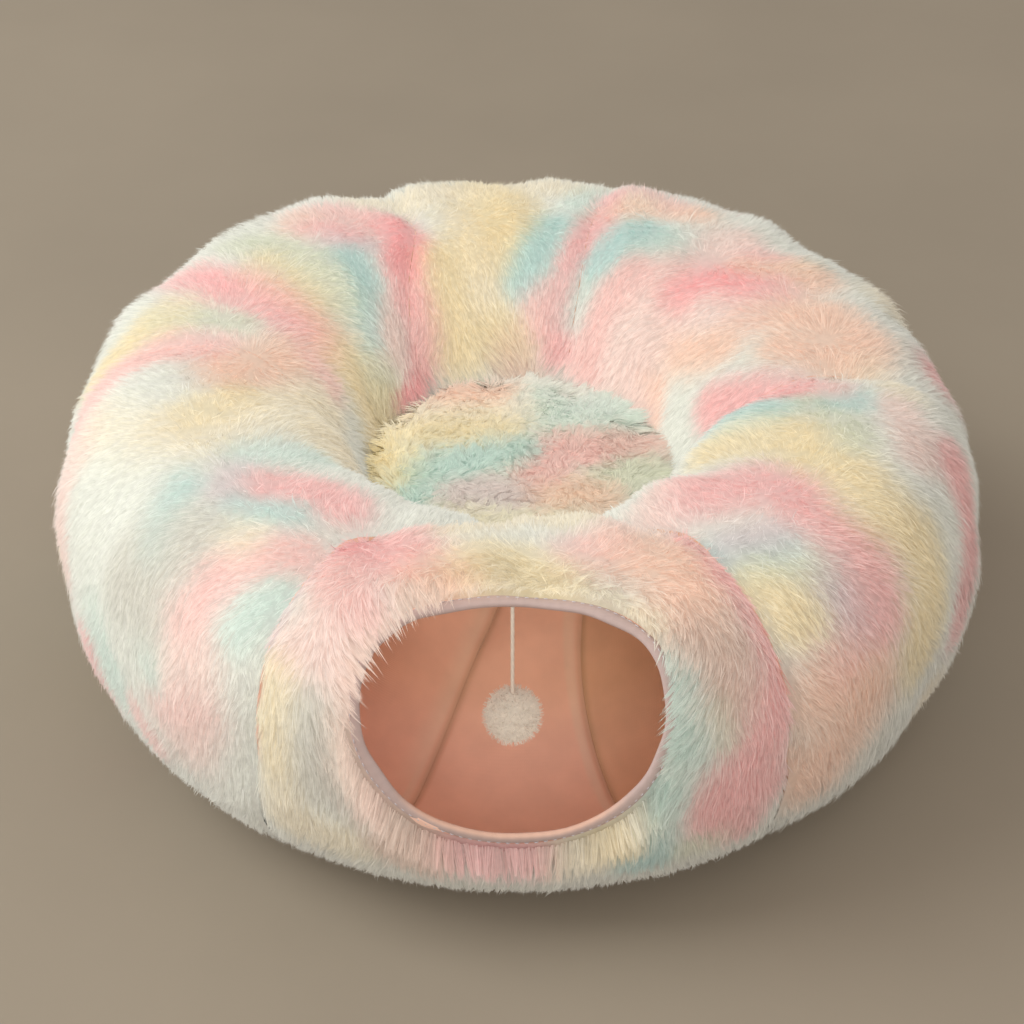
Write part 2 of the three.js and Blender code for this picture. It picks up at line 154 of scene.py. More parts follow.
# Dye marks and marks of painted shade: radius in mm, and places as (azimuth, section) in degrees. The front
# panel is cut from another part of the dyed plush than its neighbours, so it has marks of its own.
DyeAndShade = namedtuple("DyeAndShade", "tint radius strength places")
FRONT_DYES_AND_SHADE = [
    DyeAndShade("rose", 10, 0.8, [(236, 97), (240, 92)]),
    DyeAndShade("pink", 18, 1.0, [(238, 92), (244, 90), (250, 92)]),
    DyeAndShade("palepink", 14, 0.9, [(241, 76), (246, 68), (248, 64)]),
    DyeAndShade("peach", 16, 0.8, [(255, 86), (259, 84)]),
    DyeAndShade("yellow", 16, 0.7, [(262, 90), (269, 92), (275, 86)]),
    DyeAndShade("cream", 12, 0.7, [(268, 80), (275, 78)]),
    DyeAndShade("dun", 8, 0.8, [(259, 74), (267, 75)]),
    DyeAndShade("palepink", 14, 0.6, [(281, 97), (287, 96)]),
    DyeAndShade("peach", 20, 1.0, [(290, 92), (295, 82), (294, 68)]),
    DyeAndShade("pink", 10, 0.8, [(301, 96), (302, 84), (301, 72)]),
    DyeAndShade("cream", 10, 0.8, [(278, 76), (282, 69), (287, 62)]),
    DyeAndShade("cream", 13, 0.9, [(256, 114), (270, 128), (285, 120)]),
    DyeAndShade("palepink", 12, 0.6, [(246, 105), (250, 112)]),
    DyeAndShade("blush", 12, 0.6, [(290, 110), (298, 112)]),
    DyeAndShade("blush", 16, 0.8, [(246, 56), (247, 46), (243, 46)]),
    DyeAndShade("yellow", 11, 0.4, [(241, 38), (241, 22), (242, 6)]),
    DyeAndShade("cream", 14, 0.7, [(242, 30), (242, 10), (243, -14)]),
    DyeAndShade("pearl", 18, 0.9, [(247, 26), (248, 8)]),
    DyeAndShade("blush", 10, 0.5, [(250, 38), (252, 18), (254, -2)]),
    DyeAndShade("dun", 9, 0.8, [(256, 70), (253, 58), (251, 46), (251, 32)]),
    DyeAndShade("dun", 12, 1.2, [(251, 26), (251, 14), (254, 0), (260, -10)]),
    DyeAndShade("cream", 14, 0.7, [(244, -18), (250, -20)]),
    DyeAndShade("dun", 12, 0.8, [(255, -16), (260, -20)]),
    DyeAndShade("pink", 14, 1.3, [(263, -15), (267, -18), (271, -18)]),
    DyeAndShade("pink", 13, 0.9, [(302, 70), (302, 54), (302, 40)]),
    DyeAndShade("pink", 16, 1.1, [(300, 26), (298, 14), (295, 2)]),
    DyeAndShade("pink", 14, 0.9, [(292, -6), (295, -8), (299, -4)]),
    DyeAndShade("dun", 16, 0.9, [(293, 54), (295, 46), (295, 34)]),
    DyeAndShade("blush", 12, 0.4, [(296, 38), (296, 28)]),
    DyeAndShade("sage", 10, 0.5, [(293, 30), (294, 20)]),
    DyeAndShade("mint", 11, 0.9, [(287, 46), (288, 34), (289, 20)]),
    DyeAndShade("mint", 10, 0.9, [(287, 4), (286, -10)]),
    DyeAndShade("aqua", 8, 0.6, [(286, -16), (286, -22)]),
    DyeAndShade("white", 8, 0.5, [(290, 34), (291, 20)]),
    DyeAndShade("yellow", 9, 0.6, [(279, -16), (282, -15)]),
    DyeAndShade("cream", 12, 0.8, [(275, -19), (278, -18)]),
    DyeAndShade("cream", 10, 0.7, [(281, -8), (284, -8)]),
    DyeAndShade("aqua", 8, 0.7, [(283, -26), (286, -25)]),
    DyeAndShade("sage", 10, 0.7, [(290, -22), (293, -20)]),
    DyeAndShade("pink", 12, 0.8, [(293, -14), (296, -18)]),
    # the cloth's back showing in the two front seams
    DyeAndShade("salmon", 2.5, 2.0, [(238.5, 33), (238.5, 26)]),
    DyeAndShade("salmon", 2.5, 1.5, [(238.5, 14), (238.5, 6)]),
    DyeAndShade("salmon", 2.5, 2.0, [(302.3, 54), (302.3, 48)]),
    DyeAndShade("salmon", 2.5, 2.0, [(302.3, 38), (302.3, 30)]),
    # painted shade: a thin grey line in the parted pile along the front panel's left seam
    DyeAndShade("lavender", 3, 1.0, [(238.5, 95), (238.5, 45)]),
    # the hole's side, which the photograph hides
    DyeAndShade("cream", 20, 0.9, [(254, 138), (284, 138)]),
    DyeAndShade("palepink", 16, 0.8, [(262, 162), (284, 160)]),
]
RING_DYES_AND_SHADE = [
    # back left
    DyeAndShade("white", 16, 0.9, [(138, 56), (131, 60)]),
    DyeAndShade("palepink", 14, 0.9, [(130, 70), (124, 78), (118, 88)]),
    DyeAndShade("pink", 10, 0.8, [(132, 78), (127, 94)]),
    DyeAndShade("rose", 12, 1.2, [(117, 92), (116, 104), (119, 116)]),
    DyeAndShade("pink", 10, 0.7, [(121, 122), (123, 130)]),
    DyeAndShade("sage", 14, 0.9, [(141, 68), (139, 84), (140, 104), (143, 121)]),
    DyeAndShade("yellow", 12, 0.6, [(143, 84), (145, 100), (147, 114)]),
    DyeAndShade("aqua", 10, 0.9, [(131, 104), (133, 116), (137, 126)]),
    DyeAndShade("aqua", 9, 0.4, [(140, 130), (143, 138)]),
    DyeAndShade("sage", 13, 0.9, [(146, 148), (151, 158)]),
    DyeAndShade("lavender", 8, 0.5, [(131, 92), (126, 102)]),
    DyeAndShade("blush", 12, 0.7, [(133, 132), (137, 145)]),
    DyeAndShade("pink", 11, 0.9, [(121, 132), (122, 144), (127, 156)]),
    DyeAndShade("rose", 8, 0.8, [(130, 162), (139, 163)]),
    DyeAndShade("pink", 14, 1.1, [(153, 60), (155, 78), (156, 98), (158, 114), (159, 126)]),
    DyeAndShade("rose", 8, 0.6, [(153, 70), (155, 82)]),
    DyeAndShade("peach", 12, 0.7, [(150, 88), (152, 104), (154, 120)]),
    DyeAndShade("sage", 11, 0.8, [(166, 66), (165, 82), (165, 96)]),
    DyeAndShade("yellow", 15, 1.3, [(158, 132), (156, 148), (157, 162)]),
    DyeAndShade("yellow", 14, 1.2, [(152, 158), (155, 170)]),
    # left
    DyeAndShade("yellow", 14, 0.8, [(173, 42), (168, 58), (166, 70)]),
    DyeAndShade("white", 10, 0.6, [(165, 48), (158, 50)]),
    DyeAndShade("palepink", 13, 0.9, [(183, 40), (178, 54), (173, 72), (174, 92)]),
    DyeAndShade("peach", 18, 0.8, [(180, 102), (177, 112), (172, 118)]),
    DyeAndShade("yellow", 14, 0.7, [(195, 84), (194, 94), (190, 104)]),
    DyeAndShade("cream", 18, 0.7, [(200, 84), (198, 98), (194, 112)]),
    DyeAndShade("cream", 15, 1.0, [(186, 126), (181, 138)]),
    DyeAndShade("cream", 15, 1.3, [(198, 130), (200, 144)]),
    DyeAndShade("palepink", 8, 0.7, [(168, 124), (172, 138)]),
    DyeAndShade("blush", 14, 0.9, [(185, 40), (190, 42), (192, 24), (196, 6)]),
    DyeAndShade("white", 26, 1.0, [(198, 50), (205, 34), (206, 18)]),
    DyeAndShade("cream", 20, 0.5, [(190, 50), (196, 62)]),
    DyeAndShade("aqua", 11, 0.3, [(217, 50), (214, 60), (211, 72)]),
    DyeAndShade("mint", 12, 0.5, [(209, 98), (210, 110), (212, 124)]),
    DyeAndShade("pink", 12, 1.0, [(219, 94), (222, 100), (229, 104), (234, 106)]),
    DyeAndShade("aqua", 10, 0.4, [(220, 82), (224, 86), (229, 90)]),
    DyeAndShade("lavender", 12, 0.4, [(216, 82), (213, 90)]),
    DyeAndShade("palepink", 13, 0.9, [(235, 76), (231, 66), (228, 58)]),
    DyeAndShade("palepink", 14, 0.7, [(228, 50), (227, 40)]),
    DyeAndShade("mint", 12, 0.7, [(237, 60), (235, 52), (234, 44)]),
    DyeAndShade("mint", 16, 0.7, [(209, 12), (211, 2), (214, -6)]),
    DyeAndShade("pearl", 22, 1.0, [(216, 38), (218, 48), (219, 56)]),
    DyeAndShade("pearl", 16, 0.7, [(221, 34), (221, 27)]),
    DyeAndShade("white", 16, 0.5, [(219, 18), (220, 22)]),
    DyeAndShade("blush", 18, 0.7, [(229, 32), (230, 16), (230, -4)]),
    DyeAndShade("palepink", 14, 0.4, [(226, 6), (231, 12)]),
    DyeAndShade("palepink", 10, 0.7, [(219, -8), (222, -16)]),
    DyeAndShade("mint", 10, 0.5, [(222, 20), (224, 14)]),
    DyeAndShade("white", 14, 0.7, [(236, -8), (233, -14)]),
    # back
    DyeAndShade("cream", 15, 0.9, [(116, 66), (108, 72), (104, 68)]),
    DyeAndShade("yellow", 20, 1.0, [(96, 68), (96, 98), (99, 116)]),
    DyeAndShade("yellow", 14, 0.8, [(94, 90), (95, 106)]),
    DyeAndShade("yellow", 16, 1.0, [(110, 118), (111, 136), (111, 152)]),
    DyeAndShade("cream", 12, 0.7, [(102, 92), (101, 116), (101, 138)]),
    DyeAndShade("yellow", 14, 0.9, [(99, 146), (93, 152)]),
    DyeAndShade("dun", 12, 1.0, [(92, 154), (89, 164)]),
    DyeAndShade("cream", 14, 0.8, [(88, 64), (81, 64)]),
    DyeAndShade("mint", 10, 0.6, [(78, 66), (78, 82)]),
    DyeAndShade("yellow", 14, 0.7, [(91, 82), (90, 100)]),
    DyeAndShade("aqua", 11, 1.2, [(83, 99), (85, 112), (87, 122), (88, 129)]),
    DyeAndShade("palepink", 10, 0.7, [(84, 134), (83, 148)]),
    # back right
    DyeAndShade("pink", 8, 1.0, [(73, 72), (73, 92), (75, 108), (76, 122), (77, 142), (76, 156)]),
    DyeAndShade("aqua", 12, 1.1, [(62, 98), (66, 106), (69, 118)]),
    DyeAndShade("mint", 12, 0.9, [(54, 98), (58, 104)]),
    DyeAndShade("mint", 10, 0.9, [(72, 128), (73, 142)]),
    DyeAndShade("palepink", 13, 1.0, [(56, 118), (60, 128), (64, 142), (64, 158)]),
    DyeAndShade("palepink", 13, 0.7, [(69, 66), (63, 70)]),
    DyeAndShade("peach", 12, 0.7, [(71, 84), (65, 76), (57, 72)]),
    DyeAndShade("blush", 14, 0.8, [(51, 108), (48, 92), (46, 78)]),
    DyeAndShade("rose", 11, 0.9, [(44, 122), (44, 112), (40, 104), (34, 100)]),
    DyeAndShade("pink", 16, 0.8, [(44, 102), (32, 102), (30, 92)]),
    DyeAndShade("peach", 14, 0.9, [(39, 90), (33, 80), (29, 74)]),
    DyeAndShade("pink", 12, 0.6, [(41, 82), (37, 76)]),
    DyeAndShade("blush", 18, 0.9, [(50, 130), (43, 130), (46, 146)]),
    DyeAndShade("blush", 18, 0.6, [(32, 118), (26, 108)]),
    DyeAndShade("peach", 16, 0.5, [(24, 108), (20, 98)]),
    DyeAndShade("peach", 14, 0.6, [(32, 138), (24, 132), (20, 126)]),
    DyeAndShade("blush", 16, 0.8, [(46, 158), (36, 166)]),
    DyeAndShade("peach", 10, 0.6, [(36, 154), (30, 164)]),
    DyeAndShade("peach", 18, 1.0, [(20, 94), (15, 84), (8, 76)]),
    DyeAndShade("peach", 12, 0.9, [(9, 106), (6, 96), (3, 82)]),
    DyeAndShade("cream", 14, 0.6, [(2, 76), (356, 66)]),
    DyeAndShade("pink", 12, 1.2, [(360, 138), (357, 128), (355, 112), (355, 104)]),
    DyeAndShade("palepink", 10, 0.7, [(354, 96), (352, 88)]),
    # front right
    DyeAndShade("aqua", 10, 0.7, [(350, 134), (347, 120), (344, 108)]),
    DyeAndShade("aqua", 10, 0.8, [(348, 90), (350, 82)]),
    DyeAndShade("sage", 12, 0.7, [(346, 98), (343, 88), (338, 80)]),
    DyeAndShade("blush", 12, 0.6, [(350, 68), (342, 58)]),
    DyeAndShade("yellow", 15, 0.7, [(330, 126), (332, 112), (335, 98)]),
    DyeAndShade("sage", 11, 0.6, [(337, 126), (340, 110)]),
    DyeAndShade("yellow", 18, 0.9, [(332, 88), (330, 74), (326, 60)]),
    DyeAndShade("yellow", 16, 0.8, [(328, 46), (326, 30), (323, 12)]),
    DyeAndShade("pink", 16, 1.1, [(309, 110), (314, 104), (320, 94), (321, 86)]),
    DyeAndShade("pink", 15, 1.0, [(319, 76), (319, 62), (319, 50), (317, 34)]),
    DyeAndShade("pink", 12, 1.0, [(346, 44), (343, 32), (338, 18), (334, 4)]),
    DyeAndShade("blush", 14, 0.7, [(300, 114), (304, 118)]),
    DyeAndShade("aqua", 11, 0.7, [(301, 82), (305, 76), (310, 70)]),
    DyeAndShade("lavender", 12, 0.9, [(305, 80), (310, 74)]),
    DyeAndShade("sage", 12, 0.8, [(304, 70), (308, 66), (312, 58)]),
    DyeAndShade("lavender", 13, 0.9, [(313, 54), (314, 46), (314, 38)]),
    DyeAndShade("yellow", 13, 0.9, [(304, 66), (306, 58), (306, 48)]),
    DyeAndShade("palepink", 14, 0.7, [(317, 48), (314, 36), (310, 28)]),
    DyeAndShade("peach", 22, 0.9, [(307, 22), (313, 18), (308, 2), (305, -8)]),
    # outside of the back, which the photograph hides
    DyeAndShade("pink", 14, 1.0, [(8, 40), (12, 0), (9, -40)]),
    DyeAndShade("cream", 16, 0.9, [(24, 45), (26, 0), (22, -40)]),
    DyeAndShade("aqua", 12, 1.0, [(38, 35), (41, 0), (37, -40)]),
    DyeAndShade("pink", 14, 1.0, [(55, 40), (58, 5), (54, -40)]),
    DyeAndShade("yellow", 14, 1.0, [(74, 40), (72, 0), (75, -40)]),
    DyeAndShade("blush", 12, 0.9, [(90, 40), (88, 0), (91, -40)]),
    DyeAndShade("mint", 13, 1.0, [(104, 40), (107, 0), (103, -40)]),
    DyeAndShade("rose", 12, 0.9, [(121, 30), (123, -5), (120, -40)]),
    DyeAndShade("cream", 16, 0.9, [(138, 30), (140, -5), (136, -40)]),
    DyeAndShade("pink", 13, 1.0, [(157, 30), (154, -5), (158, -40)]),
    DyeAndShade("aqua", 12, 0.9, [(171, 20), (174, -10), (170, -40)]),
    DyeAndShade("yellow", 14, 0.9, [(190, 0), (192, -40)]),
    DyeAndShade("pink", 12, 0.8, [(206, -5), (208, -40)]),
    DyeAndShade("cream", 14, 0.9, [(330, -20), (334, -45)]),
    DyeAndShade("mint", 12, 0.9, [(347, -15), (349, -45)]),
]
# Dye marks on the pad, as (x, y) points
PAD_DYES = [
    DyeAndShade("peach", 14, 0.9, [(-45, 65), (-15, 67)]),
    DyeAndShade("cream", 16, 0.8, [(-75, 42), (-40, 47), (0, 52)]),
    DyeAndShade("yellow", 15, 1.0, [(-95, 10), (-80, -15)]),
    DyeAndShade("yellow", 14, 0.8, [(-65, 25), (-15, 25)]),
    DyeAndShade("aqua", 14, 0.9, [(-70, -45), (-65, -20), (-35, -15)]),
    DyeAndShade("aqua", 12, 0.7, [(-25, -5), (5, -5)]),
    DyeAndShade("mint", 15, 1.0, [(12, 60), (28, 42), (48, 38)]),
    DyeAndShade("pink", 13, 1.0, [(15, -25), (28, -5), (45, 0)]),
    DyeAndShade("lavender", 12, 1.0, [(-35, -45), (0, -45)]),
    DyeAndShade("peach", 14, 0.9, [(18, -45), (50, -45)]),
    DyeAndShade("palepink", 14, 0.9, [(45, 10), (80, 15)]),
    DyeAndShade("sage", 14, 1.0, [(65, -25), (85, -15)]),
    DyeAndShade("mint", 12, 0.9, [(62, 52), (75, 38)]),
    DyeAndShade("cream", 14, 0.8, [(-40, -75), (30, -78)]),
]
# Painted shade over the pad, less at its back, and painted light on its left rim
PAD_PAINTED_SHADE = np.array([0.86, 0.86, 0.8])
PAD_BACK_PAINTED_SHADE = np.array([0.95, 0.92, 0.9])
PAD_LEFT_RIM_PAINTED_LIGHT = 1.25

# The pile's lie: where a pucker makes the strands point outwards, as azimuth, section and radius
Star = namedtuple("Star", "azimuth section radius")
STARS = [Star(176, 108, 26), Star(46, 96, 22), Star(10, 88, 20), Star(242, 98, 22)]


# Plain helpers

TINY = 1e-9


def lerp(first, second, share):
    return first + (second - first) * share


def smoothstep(value, low, high):
    share = np.clip((value - low) / (high - low), 0, 1)
    return share * share * (3 - 2 * share)


def bell(value, width, power=2):
    """1 at zero, fading on both sides over a width."""
    return np.exp(-((value / width) ** power))


def turns_round(count):
    """So many angles, spread evenly over a full turn."""
    return np.arange(count) * FULL_TURN / count


def signed(angle):
    """An angle between half a turn back and half a turn on."""
    return (angle + math.pi) % FULL_TURN - math.pi


def unit(vectors):
    return vectors / np.maximum(np.linalg.norm(vectors, axis=-1, keepdims=True), TINY)


def rounded_square(across, up, power):
    """How far a rounded square reaches in the direction of a cosine and a sine."""
    return (np.abs(across) ** power + np.abs(up) ** power) ** (-1 / power)


def linear(screen):
    """Screen values from 0 to 255 as linear light."""
    value = np.asarray(screen, float) / 255
    return np.where(value <= 0.04045, value / 12.92, ((value + 0.055) / 1.055) ** 2.4)


Noise = namedtuple("Noise", "count length seed")
WAVE_SPREAD = (0.7, 1.4)


def waves(points, noise):
    """Smooth noise from about -1 to 1 over points: so many waves of about that length."""
    local = np.random.default_rng(noise.seed)
    directions = unit(local.normal(size=(noise.count, 3))) * FULL_TURN / noise.length
    directions *= local.uniform(*WAVE_SPREAD, (noise.count, 1))
    phases = local.uniform(0, FULL_TURN, noise.count)
    return np.sin(points @ directions.T + phases).sum(axis=-1) / math.sqrt(noise.count)


# Meshes

Form = namedtuple("Form", "points faces colours normals cells", defaults=(None, None, None))


def add_piece(name, form, material):
    """An object from arrays: points in mm, and groups of faces with the same number of corners."""
    mesh = bpy.data.meshes.new(name)
    corners = np.concatenate([group.ravel() for group in form.faces]).astype(np.int32)
    totals = np.concatenate([np.full(len(group), group.shape[1]) for group in form.faces])
    starts = np.concatenate([[0], np.cumsum(totals)[:-1]]).astype(np.int32)
    mesh.vertices.add(len(form.points))
    mesh.vertices.foreach_set("co", (form.points * MM).astype(np.float32).ravel())
    mesh.loops.add(len(corners))
    mesh.loops.foreach_set("vertex_index", corners)
    mesh.polygons.add(len(totals))
    mesh.polygons.foreach_set("loop_start", starts)
    mesh.polygons.foreach_set("use_smooth", np.ones(len(totals), bool))
    mesh.update(calc_edges=True)
    if form.colours is not None:
        layer = mesh.color_attributes.new("DyeAndShade", "FLOAT_COLOR", "POINT")
        opaque = np.concatenate([form.colours, np.ones((len(form.colours), 1))], axis=1)
        layer.data.foreach_set("color", opaque.astype(np.float32).ravel())
    if form.cells is not None:
        layer = mesh.uv_layers.new(name="OFBake")
        layer.data.foreach_set("uv", form.cells[corners].astype(np.float32).ravel())
    if form.normals is not None:
        mesh.normals_split_custom_set_from_vertices(form.normals.astype(np.float32))
    mesh.materials.append(material)
    piece = bpy.data.objects.new(name, mesh)
    bpy.context.scene.collection.objects.link(piece)
    return piece


def keep(piece, slot, *nodes, fine=False):
    """The piece rides on the bed and stands for solids; the slot it is given is not used.

    Light passes between fine fibres, so they cast no shadow.
    """
    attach(piece, BODY)
    piece.visible_shadow = not fine
    if nodes:
        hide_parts(*nodes)
    return piece


def grid_faces(rows, columns):
    """Four-cornered faces of a grid of points, whose columns join round."""
    row = np.arange(rows - 1)[:, None]
    column = np.arange(columns)[None]
    following = (column + 1) % columns
    corners = [
        row * columns + column,
        row * columns + following,
        (row + 1) * columns + following,
        (row + 1) * columns + column,
    ]
    return np.stack(corners, axis=-1).reshape(-1, 4)


def end_faces(rows, columns):
    """The two faces that close such a grid at its first and last row."""
    column = np.arange(columns)
    return np.stack([column[::-1], column + (rows - 1) * columns])


STRIP_SHARE = 0.98


def join_forms(forms):
    """One form from several, each with its own strip of the bake cells."""
    faces = []
    cells = []
    first = 0
    for index, form in enumerate(forms):
        faces.extend(group + first for group in form.faces)
        cells.append((form.cells * (STRIP_SHARE, 1) + (index, 0)) / (len(forms), 1))
        first += len(form.points)
    return Form(
        np.concatenate([form.points for form in forms]),
        faces,
        np.concatenate([form.colours for form in forms]),
        np.concatenate([form.normals for form in forms]),
        np.concatenate(cells),
    )


# Materials

Uneven = namedtuple("Uneven", "scale detail low high")
NOISE_LOW = 0.3
NOISE_HIGH = 0.7
PILE_SHADE = Uneven(260, 2, 0.94, 1.05)
PILE_ROUGHNESS = Uneven(90, 2, 0.72, 0.92)
PILE_SPECULAR = 0.12
WEAVE_SHADE = Uneven(45, 4, 0.95, 1.05)
WEAVE_ROUGHNESS = Uneven(120, 2, 0.78, 0.95)
WEAVE_SPECULAR = 0.15
WEAVE_DISTORTION = 0.6
WAVE_BANDS = 20
SHEEN_ROUGHNESS = 0.5


def new_material(name):
    material = bpy.data.materials.new(name)
    material.use_nodes = True
    nodes = material.node_tree.nodes
    return material, nodes, material.node_tree.links, nodes["Principled BSDF"]


def add_noise(nodes, links, uneven):
    """A noise value between low and high, in the object's own coordinates."""
    place = nodes.new("ShaderNodeTexCoord")
    noise = nodes.new("ShaderNodeTexNoise")
    noise.inputs["Scale"].default_value = uneven.scale
    noise.inputs["Detail"].default_value = uneven.detail
    links.new(place.outputs["Object"], noise.inputs["Vector"])
    spread = nodes.new("ShaderNodeMapRange")
    spread.inputs["From Min"].default_value = NOISE_LOW
    spread.inputs["From Max"].default_value = NOISE_HIGH
    spread.inputs["To Min"].default_value = uneven.low
    spread.inputs["To Max"].default_value = uneven.high
    links.new(noise.outputs["Fac"], spread.inputs["Value"])
    return spread.outputs["Result"]


def shaded_colour(nodes, links, colour, value):
    """A colour made darker or lighter by a value."""
    mix = nodes.new("ShaderNodeVectorMath")
    mix.operation = "SCALE"
    links.new(colour, mix.inputs[0])
    links.new(value, mix.inputs["Scale"])
    return mix.outputs["Vector"]


def add_bump(nodes, links, shader, height, strength, distance):
    bump = nodes.new("ShaderNodeBump")
    bump.inputs["Strength"].default_value = strength
    bump.inputs["Distance"].default_value = distance
    links.new(height, bump.inputs["Height"])
    links.new(bump.outputs["Normal"], shader.inputs["Normal"])


def mesh_coloured_material(name, sheen, specular, shade, roughness):
    """A material with the colour that is in the mesh, a little uneven."""
    material, nodes, links, shader = new_material(name)
    dye_and_shade = nodes.new("ShaderNodeAttribute")
    dye_and_shade.attribute_name = "DyeAndShade"
    uneven = add_noise(nodes, links, shade)
    links.new(shaded_colour(nodes, links, dye_and_shade.outputs["Color"], uneven), shader.inputs["Base Color"])
    links.new(add_noise(nodes, links, roughness), shader.inputs["Roughness"])
    shader.inputs["Specular IOR Level"].default_value = specular
    shader.inputs["Sheen Weight"].default_value = sheen
    shader.inputs["Sheen Roughness"].default_value = SHEEN_ROUGHNESS
    return material, nodes, links, shader


def pile_material(name, sheen):
    """Fibres, with the dye and painted shade that are in the mesh."""
    return mesh_coloured_material(name, sheen, PILE_SPECULAR, PILE_SHADE, PILE_ROUGHNESS)[0]


def woven_material(name, thread, sheen, bump):
    """A plain weave with threads so many mm apart."""
    material, nodes, links, shader = mesh_coloured_material(
        name, sheen, WEAVE_SPECULAR, WEAVE_SHADE, WEAVE_ROUGHNESS
    )
    place = nodes.new("ShaderNodeTexCoord")
    weave = nodes.new("ShaderNodeMath")
    weave.operation = "MULTIPLY"
    for index, direction in enumerate(("X", "Z")):
        wave = nodes.new("ShaderNodeTexWave")
        wave.bands_direction = direction
        wave.inputs["Scale"].default_value = FULL_TURN / (WAVE_BANDS * thread * MM)
        wave.inputs["Distortion"].default_value = WEAVE_DISTORTION
        links.new(place.outputs["Object"], wave.inputs["Vector"])
        links.new(wave.outputs["Fac"], weave.inputs[index])
    add_bump(nodes, links, shader, weave.outputs["Value"], bump, thread * MM / 4)
    return material


# The ring's form

def by_side(values, section):
    """A value by side, blended round the section and fading out underneath."""
    across = np.cos(section)
    up = np.sin(section)
    side = np.where(across > 0, values.outside, values.hole)
    crest = np.where(up > 0, values.crest, 0)
    underneath = np.where(up > 0, 1, 1 + up)
    return (side * across**2 + crest * up**2) * underneath


def line_azimuth(line, section):
    """The azimuth of a seam or fold at a section angle."""
    angle = np.degrees(section) % 360
    over = lerp(line.outside, line.hole, smoothstep(angle, LINE_SHIFTS.start, LINE_SHIFTS.hole))
    way = np.clip((angle - LINE_SHIFTS.hole) / (LINE_SHIFTS.under - LINE_SHIFTS.hole), 0, 1)
    inner = lerp(line.under, line.hole, np.cos(way * math.pi / 2) ** UNDER_SHIFT_POWER)
    back = lerp(line.under, line.outside, smoothstep(angle, LINE_SHIFTS.under, LINE_SHIFTS.end))
    return np.where(angle < LINE_SHIFTS.hole, over, np.where(angle < LINE_SHIFTS.under, inner, back))


def ring_point(azimuth, section, depth):
    """A point of the plain ring, a depth inside the tips of its pile."""
    azimuth, section, depth = np.broadcast_arrays(azimuth, section, depth)
    across = np.cos(section)
    up = np.sin(section)
    fullness = rounded_square(across, up, np.where(up > 0, POWER_ABOVE, POWER_BELOW))
    half_width = MIDDLE_RADIUS - HOLE_RADIUS - depth
    half_height = MIDDLE_HEIGHT - depth + np.where(up < 0, UNDERSIDE_SAG, 0)
    radius = MIDDLE_RADIUS + half_width * fullness * across
    height = np.maximum(0, MIDDLE_HEIGHT + half_height * fullness * up)
    turn = np.radians(azimuth)
    return np.stack([radius * np.cos(turn), radius * np.sin(turn), height], axis=-1)


def ring_radius(section, depth):
    return ring_point(0, section, depth)[..., 0]


def fold_depth(azimuth, section):
    depth = 0
    for fold in FOLDS:
        turns = (azimuth - line_azimuth(fold, section)) / 360
        away = (turns - np.round(turns)) * 360
        depth = depth + by_side(fold.depth, section) * bell(away, fold.half_width)
    return depth


def lump_height(azimuth, section):
    height = 0
    for lump in LUMPS:
        angle = lump.around * np.radians(azimuth) + lump.across * section + lump.phase
        height = height + lump.height * np.sin(angle)
    return height * by_side(LUMP_SHARES, section)


def next_panel(panel):
    return PANELS[(PANELS.index(panel) + 1) % len(PANELS)]


def panel_ends(panel, section, depth=0, seam_gap=SEAM_GAP):
    """The azimuths of a panel's two edges."""
    following = next_panel(panel)
    full_turn = 360 if following.outside < panel.outside else 0
    gap = np.degrees(seam_gap / 2 / ring_radius(section, depth))
    return line_azimuth(panel, section) + gap, line_azimuth(following, section) + full_turn - gap


def seam_place(panel, azimuth, section, depth):
    """A point's share of the way over its panel, and how far it is from the nearer seam, in mm."""
    start, end = panel_ends(panel, section, depth)
    share = np.clip((azimuth - start) / (end - start), 0, 1)
    from_seam = np.radians(np.minimum(azimuth - start, end - azimuth)) * ring_radius(section, depth)
    return share, from_seam


def seam_valley(panel, section, share, from_seam):
    """How far a seam draws the cloth in, and how deep the pile parts over it."""
    draw = lerp(panel.draw, next_panel(panel).draw, share) * np.abs(2 * share - 1) ** PINCH_POWER
    groove = by_side(GROOVE, section) * bell(from_seam, GROOVE_WIDTH)
    return by_side(PINCH, section) * draw, groove


def panel_point(panel, azimuth, section, depth):
    """A point of a sewn panel at an azimuth, a depth inside the tips of its pile."""
    azimuth, section, depth = np.broadcast_arrays(azimuth, section, depth)
    share, from_seam = seam_place(panel, azimuth, section, depth)
    pinch, groove = seam_valley(panel, section, share, from_seam)
    bulge = by_side(Sides(panel.swell, panel.swell, 0), section) * (1 - (2 * share - 1) ** 2)
    pile = np.clip(1 - depth / WALL, 0, 1)
    sewn = pinch + fold_depth(azimuth, section) - bulge
    loose = groove - lump_height(azimuth, section)
    return ring_point(azimuth, section, depth + sewn + pile * loose)


# The mouth's form

FAR_AWAY = 1000


def mouth_place(azimuth, section, depth):
    """Turn round the mouth's middle and the margin outside its edge, in mm."""
    offset = ring_radius(section, depth) * np.sin(np.radians(azimuth - MOUTH_AZIMUTH))
    across = (offset - MOUTH_OFFSET) / MOUTH_HALF_WIDTH
    up = (section - MOUTH_SECTION) / MOUTH_HALF_SECTION
    ratio = np.maximum(np.hypot(across, up), TINY)
    half_height = MOUTH_HALF_SECTION * (MIDDLE_HEIGHT - depth)
    reach = np.hypot(MOUTH_HALF_WIDTH * across / ratio, half_height * up / ratio)
    behind = np.cos(np.radians(azimuth - MOUTH_AZIMUTH)) < 0
    return np.arctan2(up, across), np.where(behind, FAR_AWAY, (ratio - 1) * reach)


